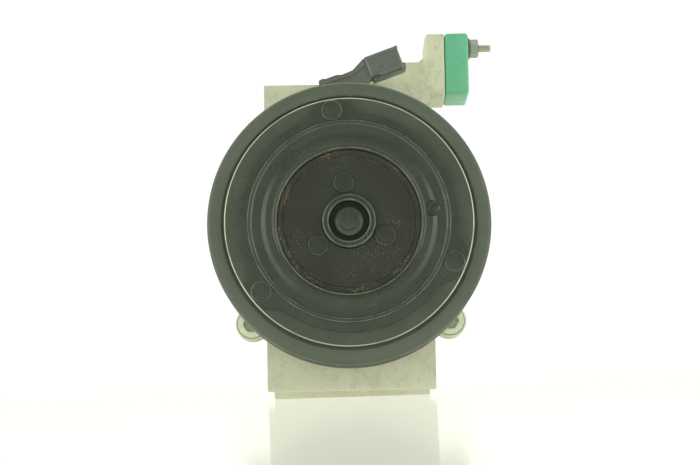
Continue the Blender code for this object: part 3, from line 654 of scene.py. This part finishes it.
def rear_housing():
    """The cup that closes the front casting, with a ribbed dome and the manifold's pad."""
    outer = BODY_RADIUS - 0.5
    blank = REAR_START - SEAM
    outline = [(0.0, blank), (59.0, blank), (59.0, REAR_START + 7.0),
               (outer, REAR_START + 9.0), (outer, 188.0, 8.0), (54.5, 196.0, 6.0), (46.0, 201.0, 4.0),
               (38.0, 202.4, 3.0), (0.0, 202.4)]
    parts = [turned("body", outline, CAST, segments=180)]
    parts += boss_blocks(REAR_BOSS_D) + side_ribs(REAR_START + 6.0, 184.0, 56.0)
    for x, _, z in EARS:
        ear = [(0.0, blank), (6.5, blank), (6.5, REAR_START + 8.0, 1.0),
               (4.5, REAR_START + 12.5, 1.0), (0.0, REAR_START + 12.5)]
        parts += [turned("ear", ear, CAST, (x, 0.0, z), segments=48),
                  leaning("ear_rib", 0.86 * x, 0.86 * z, 16.0, 11.0, (blank, REAR_START + 10.0))]
    for x, _, z in REAR_BOLTS:
        parts += [rod("bolt_boss", 9.6, 190.0, 204.0, CAST, (x, 0.0, z), edge=0.5),
                  leaning("dome_rib", 1.3 * x, 1.3 * z, 22.0, 4.0, (190.0, 203.6))]
    for angle in (30.0, 270.0, 150.0):
        parts.append(leaning("dome_web", *polar(26.0, angle), 44.0, 3.2, (190.0, 203.9)))
    parts += [rod("valve_boss", 11.0, 190.0, 204.0, CAST, VALVE_PLACE, edge=0.5),
              box("pad", (6.4, 42.8), (107.3, 138.7), (44.0, 84.0), CAST, 0.8),
              box("ridge", (17.0, 31.0), (134.0, 164.0), (44.0, 67.8), CAST, 1.5),
              box("plate_seat", (-54.5, -50.0), (118.0, 152.0), (-14.0, 14.0), CAST, 1.0)]
    piece = casting("rear_housing_casting", parts, 0.95)
    hollow = [(0.0, 100.0), (51.9, 100.0), (51.9, 150.7), (46.0, 150.7), (46.0, 185.0), (40.0, 193.0),
              (0.0, 194.0)]
    tools = [turned("hollow", hollow, MACHINED, segments=128)] + boss_machining(REAR_BOSS_D)
    tools += [box("joint", (-90.0, 90.0), (90.0, REAR_START), (-90.0, 90.0), MACHINED, 0.0),
              box("pad_face", (-4.0, 60.0), (100.0, 150.0), (82.4, 95.0), MACHINED, 0.0)]
    for x, _, z in EARS:
        tools.append(rod("ear_bore", 4.5, 100.0, REAR_START + 10.5, MACHINED, (x, 0.0, z), edge=0.0))
    for x, _, z in REAR_BOLTS:
        tools += [rod("spot", 8.4, 203.2, 215.0, MACHINED, (x, 0.0, z), segments=64, edge=0.0),
                  rod("bolt_hole", 4.5, 185.0, 215.0, MACHINED, (x, 0.0, z), segments=32, edge=0.0)]
    tools += [rod("valve_spot", 9.8, 203.0, 215.0, MACHINED, VALVE_PLACE, segments=64, edge=0.0),
              rod("valve_bore", 6.3, 185.0, 215.0, MACHINED, VALVE_PLACE, edge=0.0)]
    for x, d, _ in MANIFOLD_SCREWS:
        tools.append(rod("thread", 2.8, 66.0, 90.0, MACHINED, (x, d, 0.0), UPWARD, 24, 0.0))
    cut(piece, *tools)
    piece.name = "rear_housing_shell"
    install(piece, "casing", "cast_aluminium", "rear_housing")


# -------------------- screws, valve and gasket

def hex_head(name, flats, start, end, material, place=CENTRE, axis=REARWARD, spin=0.0, both_ends=False):
    """A hexagon with turned chamfers; start is its outer face."""
    corner = flats / math.sqrt(3.0)
    head = rod(name, corner, start, end, material, place, axis, 6, 0.0, spin)
    rise = 0.09 * flats * (1.0 if end > start else -1.0)
    back = (corner * 0.93, end) if both_ends else (corner + 1.0, end)
    cone = [(0.0, start), (flats * 0.46, start), (corner + 0.4, start + rise), (corner + 1.0, end - rise),
            back, (0.0, end)]
    limit = turned("limit", cone, material, place, axis, 96)
    return cut(head, limit, operation="INTERSECT")


def socket_screw(name, radius, start, end, shank, tip, material, place, axis=REARWARD, key=8.0,
                 floor=DARK_STEEL):
    """A cylinder-head screw with a hexagon socket and a chamfered rim; start is its outer face."""
    sign = 1.0 if end > start else -1.0
    profile = [(0.0, start), (radius, start, 0.5), (radius, end, 0.2), (shank, end), (shank, tip, 0.6),
               (0.0, tip)]
    screw = turned(name, profile, material, place, axis, 96)
    depth = start + sign * 0.68 * abs(end - start)
    socket = rod("socket", key / math.sqrt(3.0), start - sign * 2.0, depth, floor, place, axis, 6, 0.0)
    cone = [(0.0, start - sign), (key * 0.66, start - sign), (key * 0.5, start + sign * 0.5),
            (0.0, start + sign * 0.5)]
    return cut(screw, socket, turned("lead", cone, material, place, axis, 48))


def fasteners():
    for index, (x, _, z) in enumerate(EARS, 1):
        screw = socket_screw(f"housing_screw_head_{index}", 7.1, EAR_START, EAR_START + 6.6, 4.0, 116.0,
                             PALE_ZINC, (x, 0.0, z), floor=PLATED)
        install(screw, "casing", "plated_steel", f"housing_screw_{index}")
    for index, (x, _, z) in enumerate(REAR_BOLTS, 1):
        place = (x, 0.0, z)
        head = hex_head("head", 12.8, 208.3, 204.2, PLATED, place, spin=0.4 * index)
        rim = [(0.0, 203.3), (7.9, 203.3, 0.2), (7.9, 204.0, 0.2), (6.6, 204.9), (0.0, 204.9)]
        flange = turned("flange", rim, PLATED, place)
        shank = rod("shank", 4.0, 178.0, 204.0, PLATED, place)
        bolt = joined(f"scroll_bolt_fine_{index}", [head, flange, shank])
        install(bolt, "casing", "plated_steel", f"scroll_bolt_{index}")
    for index, (x, d, _) in enumerate(MANIFOLD_SCREWS, 1):
        screw = socket_screw(f"manifold_screw_fine_{index}", 5.2, 95.8, 91.8, 2.4, 68.0, PLATED,
                             (x, d, 0.0), UPWARD, 5.0)
        install(screw, "casing", "plated_steel", f"manifold_screw_{index}")


def relief_valve():
    material = LOOKS["brass"]
    body = rod("body", 6.0, 190.0, 205.0, material, VALVE_PLACE, edge=0.6)
    head = hex_head("hex", 14.9, 209.0, 203.3, material, VALVE_PLACE, spin=0.2, both_ends=True)
    tip = lathe("tip", [(1.5, 207.0), (1.5, 213.0, 0.2), (4.0, 213.0, 0.7), (4.0, 208.0)], material,
                VALVE_PLACE, segments=64)
    install(joined("relief_valve_fine", [body, head, tip]), "casing", "brass", "relief_valve")


def gasket():
    profile = [(52.2, JOINT_D + 0.3), (57.2, JOINT_D + 0.3), (57.2, JOINT_D + 0.9), (52.2, JOINT_D + 0.9)]
    piece = lathe("housing_gasket_fine", profile, LOOKS["rubber"])
    install(piece, "casing", "rubber", "housing_gasket")


# -------------------- manifold, stud and shipping cap

BLOCK_X, BLOCK_D, BLOCK_Z = extent("manifold")
BLOCK_LEFT = 40.9
ARM_Z = (82.7, 95.5)
PORTS = ((114.0, 7.0), (133.0, 6.0))           # where each port is, and its mouth's radius
PORT_Z = 88.8
STUD_PLACE = (0.0, *middle("port_stud")[1:])


def manifold():
    """The hose block: a tall face with two ports and a stud, on an arm screwed to the pad."""
    right = BLOCK_X[1]
    parts = [box("block", (BLOCK_LEFT, right + 2.0), BLOCK_D, BLOCK_Z, CAST, 2.6),
             box("arm", (8.0, 46.0), (107.0, 139.0), (ARM_Z[0] - 1.0, ARM_Z[1]), CAST, 1.2),
             prism("web", [(37.0, 95.0), (41.5, 95.0), (41.5, 99.0)], (107.6, 138.4), CAST, 0.0),
             prism("rear_gusset", [(30.0, 84.5), (44.0, 84.5), (44.0, 103.0)], (136.0, 140.6), CAST, 0.0)]
    for x, d, _ in MANIFOLD_SCREWS:
        parts.append(rod("screw_boss", 8.0, 84.0, ARM_Z[1], CAST, (x, d, 0.0), UPWARD, edge=0.8))
    piece = casting("manifold_casting", parts, 0.55, 4)
    tools = [box("cap_face", (right, 70.0), (90.0, 160.0), (60.0, 130.0), MACHINED, 0.0),
             box("pad_face", (0.0, 43.4), (90.0, 160.0), (60.0, ARM_Z[0]), MACHINED, 0.0)]
    for d, mouth in PORTS:
        port = [(0.0, 24.0), (4.0, 24.0), (4.0, 42.0), (mouth, 42.0), (mouth, right - 1.0),
                (mouth + 0.9, right + 0.1), (mouth + 0.9, 60.0), (0.0, 60.0)]
        tools.append(turned("port", port, MACHINED, (0.0, d, PORT_Z), RIGHTWARD, 72))
    tools.append(rod("stud_hole", 2.5, 43.7, 60.0, MACHINED, STUD_PLACE, RIGHTWARD, 32, 0.0))
    for x, d, _ in MANIFOLD_SCREWS:
        seat = [(0.0, 80.0), (3.0, 80.0), (3.0, 91.5), (6.0, 91.5), (6.0, 100.0), (0.0, 100.0)]
        tools.append(turned("seat", seat, MACHINED, (x, d, 0.0), UPWARD))
    cut(piece, *tools)
    piece.name = "manifold_shell"
    install(piece, "casing", "cast_aluminium", "manifold")


def threaded(name, radius, pitch, start, end, material, place, axis):
    """A stud with a helical thread between chamfered ends."""
    depth = 0.6 * pitch
    chamfer = 0.7
    rings_per_turn = 6
    steps = int((end - start) / pitch * rings_per_turn)
    profile = [(0.0, start)]
    profile += [(radius, start + (end - start) * step / steps) for step in range(steps + 1)]
    profile.append((0.0, end))
    piece = turned(name, profile, material, place, axis, 40)
    centre = world(*place)
    along = Vector(axis)
    side = along.orthogonal().normalized()
    up = along.cross(side)
    for vertex in piece.data.vertices:
        offset = vertex.co - centre
        t = offset.dot(along)
        out = offset - along * t
        if out.length < 0.5 * radius * MM:
            continue
        turn = math.atan2(out.dot(up), out.dot(side)) / (2 * math.pi)
        share = (t / MM / pitch - turn) % 1.0
        groove = abs(2.0 * share - 1.0) * depth
        lead = max(0.0, chamfer - min(t / MM - start, end - t / MM))
        vertex.co = centre + along * t + out.normalized() * (radius - max(groove, lead)) * MM
    return smooth(piece, 50.0)


def stud_and_nut():
    (left, right), _, _ = extent("port_stud")
    stud = threaded("port_stud_fine", 2.2, 0.8, left, right, PLATED, STUD_PLACE, RIGHTWARD)
    install(stud, "casing", "plated_steel", "port_stud")
    (face, end), _, _ = extent("cap_nut")
    nut = hex_head("nut", 8.5, end, face + 0.8, DULL_ZINC, STUD_PLACE, RIGHTWARD)
    rim = [(0.0, face), (6.0, face, 0.15), (6.0, face + 0.7, 0.3), (4.7, face + 1.9), (0.0, face + 1.9)]
    piece = joined("cap_nut_fine", [nut, turned("flange", rim, DARK_STEEL, STUD_PLACE, RIGHTWARD, 72)])
    bore = rod("bore", 2.5, face - 2.0, end + 2.0, DARK_STEEL, STUD_PLACE, RIGHTWARD, 40, 0.0)
    install(cut(piece, bore), "shipping_cap", "plated_steel", "cap_nut")


def port_cap():
    """The shipping cap: a rounded block with two dished discs outside and a plug in each port."""
    (_, right), cap_d, cap_z = extent("port_cap")
    left = BLOCK_X[1] + 0.3
    green = LOOKS["green_plastic"]
    cap = box("port_cap_fine", (left, right), cap_d, cap_z, green, 1.5, 5)
    tools = []
    for d, mouth in PORTS:
        dish = [(0.0, right - 0.9), (mouth - 1.5, right - 0.9, 0.4), (mouth - 0.6, right + 2.0),
                (0.0, right + 2.0)]
        tools.append(turned("dish", dish, green, (0.0, d, PORT_Z), RIGHTWARD))
    tools.append(box("notch", (right - 0.6, right + 3.0), (cap_d[0] - 2.0, cap_d[1] + 2.0), (82.1, 82.9),
                     green, 0.0))
    tools.append(rod("stud_way", 2.7, left - 3.0, right + 6.0, green, STUD_PLACE, RIGHTWARD, 40, 0.0))
    cut(cap, *tools)
    plugs = []
    for d, mouth in PORTS:
        profile = [(0.0, left - 2.0), (mouth - 1.1, left - 2.0, 0.4), (mouth - 0.6, left - 1.0),
                   (mouth - 0.6, left + 1.0), (0.0, left + 1.0)]
        plugs.append(turned("plug", profile, green, (0.0, d, PORT_Z), RIGHTWARD))
    piece = joined("port_cap_moulding", [cap, *plugs])
    install(piece, "shipping_cap", "green_plastic", "port_cap")


# -------------------- coil connector

CONNECTOR_TILT = math.radians(19.8)
CONNECTOR_CORNER = (12.0, 76.6)
CONNECTOR_D = (46.5, 61.5)
CONNECTOR_LENGTH, CONNECTOR_HEIGHT = 17.2, 10.4


def connector():
    """The moulded two-pin socket, its bottom ledge and latch, and the arm it stands on."""
    length, height = CONNECTOR_LENGTH, CONNECTOR_HEIGHT
    depth = CONNECTOR_D[1] - CONNECTOR_D[0]
    half = depth / 2
    plastic = LOOKS["black_plastic"]
    x, z = CONNECTOR_CORNER
    turn = Matrix.Translation(world(x, sum(CONNECTOR_D) / 2, z)) @ Matrix.Rotation(-CONNECTOR_TILT, 4, "Y")

    def tilted(name, u, w, v, bevel=0.3):
        return box(name, u, w, v, plastic, bevel, 2, turn)

    shell = tilted("shell", (0.0, length), (-half, half), (0.0, height), 0.5)
    panel = tilted("panel", (1.2, length - 1.5), (-half - 3.0, -half + 0.22), (0.4, height - 1.9), 0.1)
    mark = tilted("mark", (5.0, 7.6), (-half - 3.0, -half + 0.7), (2.2, 3.4), 0.1)
    back_panel = tilted("back_panel", (2.0, length - 2.0), (half - 0.5, half + 3.0), (1.6, height - 1.6),
                        0.2)
    top_groove = tilted("top_groove", (1.5, length - 3.0), (-half + 3.6, half - 3.6),
                        (height - 0.5, height + 2.0), 0.1)
    mouth = tilted("mouth", (6.0, length + 4.0), (-half + 1.6, half - 1.6), (1.6, height - 1.6), 0.5)
    cut(shell, panel, mark, back_panel, top_groove, mouth)
    parts = [shell,
             tilted("ledge", (1.0, length + 0.4), (-half + 4.5, half - 0.3), (-1.5, 0.3)),
             tilted("front_ledge", (4.5, length), (-half + 0.2, -half + 5.0), (-0.7, 0.3)),
             tilted("lip", (length - 1.9, length + 1.1), (-half + 0.6, half - 0.6), (-1.4, 1.3), 0.4),
             tilted("end_rim", (length - 0.9, length + 0.35), (-half + 0.1, half - 0.1),
                    (height - 1.5, height + 0.1)),
             tilted("latch", (4.0, 12.0), (-2.6, 2.6), (height - 0.8, height + 0.7), 0.4)]
    outline = [(-13.6, 73.2), (-14.0, 75.3), (-11.7, 76.5), (-10.9, 76.1), (-4.9, 78.2), (-2.5, 78.2),
               (2.7, 80.2), (3.6, 81.1), (8.5, 86.3), (12.6, 77.2), (7.5, 69.0), (6.5, 58.6), (-6.5, 58.6),
               (-7.5, 69.0), (-11.0, 71.6)]
    parts.append(prism("arm", outline, (47.5, 58.0), plastic, 0.5, 3))
    rib = [(-12.6, 74.2), (-4.8, 77.2), (2.6, 79.2), (8.6, 84.6), (9.4, 83.0), (3.4, 77.6), (-4.4, 75.4),
           (-12.0, 72.9)]
    parts.append(prism("arm_rib", rib, (46.9, 50.0), plastic, 0.3, 2))
    parts.append(box("root", (-5.5, 5.5), (42.4, 50.0), (58.6, 66.0), plastic, 0.4))
    piece = joined("coil_connector_moulding", parts)
    install(piece, "casing", "black_plastic", "coil_connector")


# -------------------- clutch

GROOVES = 6
GROOVE_PITCH = 3.56
FIRST_GROOVE_D = 14.4
PULLEY_RADIUS, CREST_RADIUS, ROOT_RADIUS = 67.5, 67.2, 64.2


def pulley():
    """Rolled front edge, six belt grooves, friction face and the inner ring over the bearing."""
    profile = [(36.5, 9.8), (60.2, 9.8), (60.25, 8.2, 0.3), (60.9, 7.65, 0.5), (63.0, 7.5, 3.0),
               (66.3, 8.1, 1.8), (67.3, 9.9, 1.2), (PULLEY_RADIUS, 12.2, 0.8), (PULLEY_RADIUS, 13.7, 0.2)]
    for index in range(GROOVES):
        d = FIRST_GROOVE_D + index * GROOVE_PITCH
        profile += [(CREST_RADIUS, d + 0.30, 0.25), (ROOT_RADIUS, d + 1.62, 0.3),
                    (ROOT_RADIUS, d + 1.94, 0.3), (CREST_RADIUS, d + GROOVE_PITCH - 0.30, 0.25)]
    profile += [(PULLEY_RADIUS, 36.6, 0.3), (PULLEY_RADIUS, 41.5, 0.8), (59.0, 41.5, 0.5), (59.0, 15.5, 1.0),
                (31.8, 15.5, 0.8), (31.8, 38.6, 0.4), (27.8, 38.6, 0.4), (27.8, 20.0), (25.5, 20.0),
                (25.5, 13.0, 0.5), (34.5, 13.0, 0.5)]
    piece = lathe("pulley_fine", profile, PULLEY_BLACK, segments=256)
    install(piece, "pulley", "black_clutch", "pulley")


def field_coil():
    profile = [(33.0, 17.0, 0.6), (57.6, 17.0, 0.6), (57.6, 44.6, 0.5), (22.4, 44.6, 0.3), (22.4, 42.3, 0.3),
               (33.0, 42.3)]
    piece = lathe("field_coil_fine", profile, LOOKS["coil_resin"])
    install(piece, "casing", "coil_resin", "field_coil")


OUTER_RIVETS = [middle(f"outer_rivet_{index}") for index in range(1, 4)]
INNER_RIVETS = [middle(f"inner_rivet_{index}") for index in range(1, 4)]
LOBE_ANGLES = [math.degrees(math.atan2(z, x)) % 360.0 for x, _, z in OUTER_RIVETS]
FLANGE_RADIUS = 50.5           # the cover is round inside this radius
PLATE_RADIUS, LOBE_RADIUS = 52.0, 58.2
LOBE_FOOT, LOBE_TIP = 14.0, 6.0                # degrees from a lobe's middle to its foot and its tip


def lobed(radius, angle):
    """Push the cover's rim out into its three lobes, whose flanks run straight."""
    if radius < FLANGE_RADIUS:
        return radius
    apart = min(abs((angle - lobe + 180.0) % 360.0 - 180.0) for lobe in LOBE_ANGLES)
    foot, tip = polar(PLATE_RADIUS, LOBE_FOOT), polar(LOBE_RADIUS, LOBE_TIP)
    if apart >= LOBE_FOOT:
        return radius
    reach = LOBE_RADIUS
    if apart > LOBE_TIP:
        slope = (tip[0] - foot[0]) / (tip[1] - foot[1])
        sine, cosine = math.sin(math.radians(apart)), math.cos(math.radians(apart))
        reach = (foot[0] - slope * foot[1]) / (cosine - slope * sine)
    return radius + reach - PLATE_RADIUS


def cover():
    """The pressed outer ring of the hub: rolled lip, convex band, valley, bead and lobed flange."""
    profile = [(34.0, 8.6), (34.0, 2.0, 0.3), (34.6, 1.5, 0.15), (34.9, 1.5), (35.2, 1.5, 0.15),
               (35.5, 1.0, 0.2), (36.6, 0.3, 1.4), (39.2, 0.45, 2.6), (41.6, 2.1, 1.6), (45.6, 2.1, 0.3),
               (46.1, 1.75, 0.15), (46.4, 1.75), (46.7, 1.55, 0.15), (47.5, 1.55), (47.9, 1.6, 0.15),
               (48.3, 2.4, 0.2), (51.9, 2.6), (52.0, 2.75), (52.0, 4.5, 0.2), (36.6, 4.6, 0.5), (36.6, 8.6)]
    piece = lathe("hub_cover", profile, COVER_BLACK, segments=480, swell=lobed)
    # Painted highlight lines: thin pale rings on the lip, the bead's edges and the lobes' outline.
    highlight_bands = ((34.6, 35.1), (46.1, 46.5), (47.3, 48.0))
    paint(piece, PAINTED_EDGE_HIGHLIGHT, lambda r, d, x, z: d < 2.2 and any(low < r < high for low, high in highlight_bands)
          or r > 51.4 and 2.61 < d < 2.74)
    x, z = polar(40.7, 7.4)
    dimple = [(0.0, -2.0), (5.0, -2.0), (4.1, 0.8, 0.8), (3.3, 1.95, 0.6), (0.0, 2.1)]
    cut(piece, turned("dimple", dimple, COVER_BLACK, (x, 0.0, z), segments=48))
    mark = turned("mark", [(0.0, 1.5), (1.2, 1.5, 0.5), (2.4, 2.4), (0.0, 2.4)], COVER_BLACK,
                  (x + 0.4, 0.0, z), segments=32)
    install(joined("hub_outer_ring_fine", [piece, mark]), "armature", "black_clutch", "hub_outer_ring")


def armature():
    profile = [(37.2, 4.9, 0.3), (58.5, 4.9), (59.0, 5.4), (59.0, 9.3, 0.3), (37.2, 9.3, 0.3)]
    piece = lathe("armature_plate_fine", profile, LOOKS["black_clutch"], segments=256)
    paint(piece, BARE_RIM, lambda r, d, x, z: r > 58.6)
    install(piece, "armature", "black_clutch", "armature_plate")


def rivets():
    """Upset rivet heads: a flat crown, a shallow ring at the rim and a sharp step to the plate."""
    for family, body, places, top, end, material in (
            ("outer", "armature", OUTER_RIVETS, 1.7, 9.0, COVER_BLACK),
            ("inner", "rotor", INNER_RIVETS, 3.7, 10.2, DISC_BLACK)):
        for index, (x, _, z) in enumerate(places, 1):
            profile = [(0.0, top), (2.2, top), (3.8, top + 0.04), (4.2, top + 0.08), (4.55, top),
                       (4.85, top + 0.3), (4.85, top + 1.1), (2.5, top + 1.1), (2.5, end), (0.0, end)]
            rivet = turned(f"{family}_rivet_fine_{index}", profile, material, (x, 0.0, z), segments=72)
            centre = (x, z)
            # Painted highlight: a pale ring around the rim of each head.
            paint(rivet, PAINTED_EDGE_HIGHLIGHT, lambda r, d, x, z: d < top + 0.25 and math.dist((x, z), centre) > 4.58)
            install(rivet, body, "black_clutch", f"{family}_rivet_{index}")


def hub():
    """The inner disc with its rivet seats, the collar on the shaft and the rubber between the rings."""
    # Rings every 1.4 mm keep the flat face's shading even around the rivet seats.
    disc = [(13.0, 4.5)] + [(13.0 + 1.4 * step, 4.5) for step in range(1, 13)]
    disc += [(30.6, 4.5), (31.0, 4.9), (31.0, 7.5), (13.0, 7.5)]
    piece = lathe("inner_disc_fine", disc, DISC_BLACK)
    seat = [(0.0, 2.0), (5.35, 2.0), (5.2, 4.95), (0.0, 4.95)]
    cut(piece, *[turned("seat", seat, DISC_BLACK, (x, 0.0, z)) for x, _, z in INNER_RIVETS])
    # Painted highlight along the disc's outer edge.
    paint(piece, PAINTED_EDGE_HIGHLIGHT, lambda r, d, x, z: r > 30.65 and d < 4.85)
    install(piece, "rotor", "black_clutch", "inner_disc")
    collar = [(3.4, 6.2), (9.6, 6.2), (9.6, 1.8, 0.25), (10.3, 1.4, 0.25), (12.1, 1.4, 0.3), (12.7, 2.0, 0.3),
              (12.7, 7.8), (24.0, 7.8, 0.3), (24.0, 10.0, 0.3), (12.5, 10.0), (12.5, 16.8, 0.3),
              (8.3, 16.8, 0.3), (8.3, 9.0), (3.4, 9.0)]
    piece = lathe("clutch_hub_fine", collar, DISC_BLACK)
    # Painted shade: the recess between the bolt's flange and the collar is made near black.
    paint(piece, PAINTED_RECESS_SHADE, lambda r, d, x, z: r < 9.65 and d > 2.4)
    # Painted highlight lines on the collar's two front edges.
    paint(piece, PAINTED_EDGE_HIGHLIGHT, lambda r, d, x, z: d < 2.05 and (9.5 < r < 10.35 or 12.0 < r < 12.8))
    install(piece, "rotor", "black_clutch", "clutch_hub")
    damper = [(31.1, 5.2, 0.3), (32.6, 4.9, 0.5), (33.9, 4.0, 0.4), (33.9, 8.6, 0.3), (31.1, 8.6, 0.3)]
    install(lathe("damper_ring_fine", damper, LOOKS["rubber"]), "rotor", "rubber", "damper_ring")


def clutch_bolt():
    head = hex_head("head", 8.8, -0.8, 4.4, COVER_BLACK, spin=math.radians(14.0))
    # A painted highlight ring at the hex head's face.
    rim = lathe("rim", [(3.6, -0.58), (3.8, -0.79), (4.05, -0.58)], PAINTED_EDGE_HIGHLIGHT, segments=64)
    washer = [(0.0, 3.4), (5.2, 3.4, 0.6), (6.6, 4.1, 0.3), (7.05, 4.6, 0.3), (7.05, 5.9, 0.2), (0.0, 5.9)]
    flange = turned("flange", washer, DARK_STEEL, segments=96)
    shank = rod("shank", 3.0, 5.0, 24.0, DARK_STEEL)
    install(joined("clutch_bolt_fine", [head, rim, flange, shank]), "rotor", "plated_steel", "clutch_bolt")


for build in (front_housing, rear_housing, fasteners, relief_valve, gasket, manifold, stud_and_nut,
              port_cap, connector, pulley, field_coil, cover, armature, rivets, hub, clutch_bolt):
    build()


# -------------------- floor, sky and lights

LIGHT_TINT = (0.94, 1.0, 0.87)
FLOOR_TILT = 2.75              # degrees; the nose is propped up, so the floor falls away towards the camera
FLOOR_SIZE = 6.0
FLOOR_GLOW, FLOOR_GLOW_STRENGTH = (1.0, 1.0, 0.86), 1.5
FLOOR_ROUGHNESS, FLOOR_GLOSS_SHARE = 0.09, 0.6
SKY_SEEN = 1.1
SKY_AHEAD, SKY_AROUND = 0.38, 1.2
DIM_DIRECTION = (0.0, -0.78, 0.62)
LIGHTS = (                     # name, place and size in metres, power, and whether glossy things show it
    ("overhead", (0.0, 0.5, 1.2), 1.2, 2.0, True),
    ("left", (-1.1, -0.5, 0.3), 0.8, 3.0, True),
    ("right", (1.1, -0.5, 0.3), 0.8, 3.0, True),
    ("low_front", (0.0, -0.95, -0.01), 0.7, 5.6, False),
)


def floor():
    """A glowing white table top with a soft reflection of the feet."""
    shape = bmesh.new()
    bmesh.ops.create_grid(shape, x_segments=1, y_segments=1, size=FLOOR_SIZE)
    mesh = bpy.data.meshes.new("floor")
    shape.to_mesh(mesh)
    shape.free()
    plane = placed("floor", mesh)
    plane.location = world(0.0, REAR_BOSS_D - BOSS_HALF_DEPTH, -FOOT - 0.2)
    plane.rotation_euler = (math.radians(FLOOR_TILT), math.radians(-VIEW_ROLL), 0.0)
    material = bpy.data.materials.new("floor_white")
    material.use_nodes = True
    tree = material.node_tree
    tree.nodes.remove(tree.nodes["Principled BSDF"])
    glow = add_node(tree, "Emission", {"Color": (*FLOOR_GLOW, 1.0), "Strength": FLOOR_GLOW_STRENGTH})
    gloss = add_node(tree, "BsdfGlossy", {"Roughness": FLOOR_ROUGHNESS})
    mix = add_node(tree, "MixShader", {"Fac": FLOOR_GLOSS_SHARE, 1: glow.outputs["Emission"],
                                       2: gloss.outputs["BSDF"]})
    tree.links.new(mix.outputs["Shader"], tree.nodes["Material Output"].inputs["Surface"])
    mesh.materials.append(material)


def sky():
    """White where it is seen; as a light it is dim in front of and above the clutch, bright elsewhere."""
    surround = bpy.data.worlds.new("white_surround")
    bpy.context.scene.world = surround
    surround.use_nodes = True
    tree = surround.node_tree
    glow = tree.nodes["Background"]
    glow.inputs["Color"].default_value = (1.0, 1.0, 1.0, 1.0)
    glow.inputs["Strength"].default_value = SKY_SEEN
    direction = add_node(tree, "TexCoord").outputs["Generated"]
    toward = add_node(tree, "VectorMath", {0: direction, 1: DIM_DIRECTION}, operation="DOT_PRODUCT")
    level = add_node(tree, "MapRange", {"From Min": 0.25, "From Max": 0.75, "To Min": SKY_AROUND,
                                        "To Max": SKY_AHEAD, "Value": toward.outputs["Value"]},
                     interpolation_type="SMOOTHSTEP")
    lamp = add_node(tree, "Background", {"Color": (*LIGHT_TINT, 1.0), "Strength": level.outputs["Result"]})
    seen = add_node(tree, "LightPath").outputs["Is Camera Ray"]
    mix = add_node(tree, "MixShader", {"Fac": seen, 1: lamp.outputs["Background"],
                                       2: glow.outputs["Background"]})
    tree.links.new(mix.outputs["Shader"], tree.nodes["World Output"].inputs["Surface"])


def light(name, place, size, power, mirrored):
    """A square area light that points at the clutch and is never seen itself."""
    data = bpy.data.lights.new(name, "AREA")
    data.energy = power
    data.size = size
    data.color = LIGHT_TINT
    lamp = placed(name, data)
    lamp.visible_camera = False
    lamp.visible_glossy = mirrored
    lamp.location = place
    lamp.rotation_euler = (ORIGIN - Vector(place)).to_track_quat("-Z", "Y").to_euler()


floor()
sky()
for row in LIGHTS:
    light(*row)
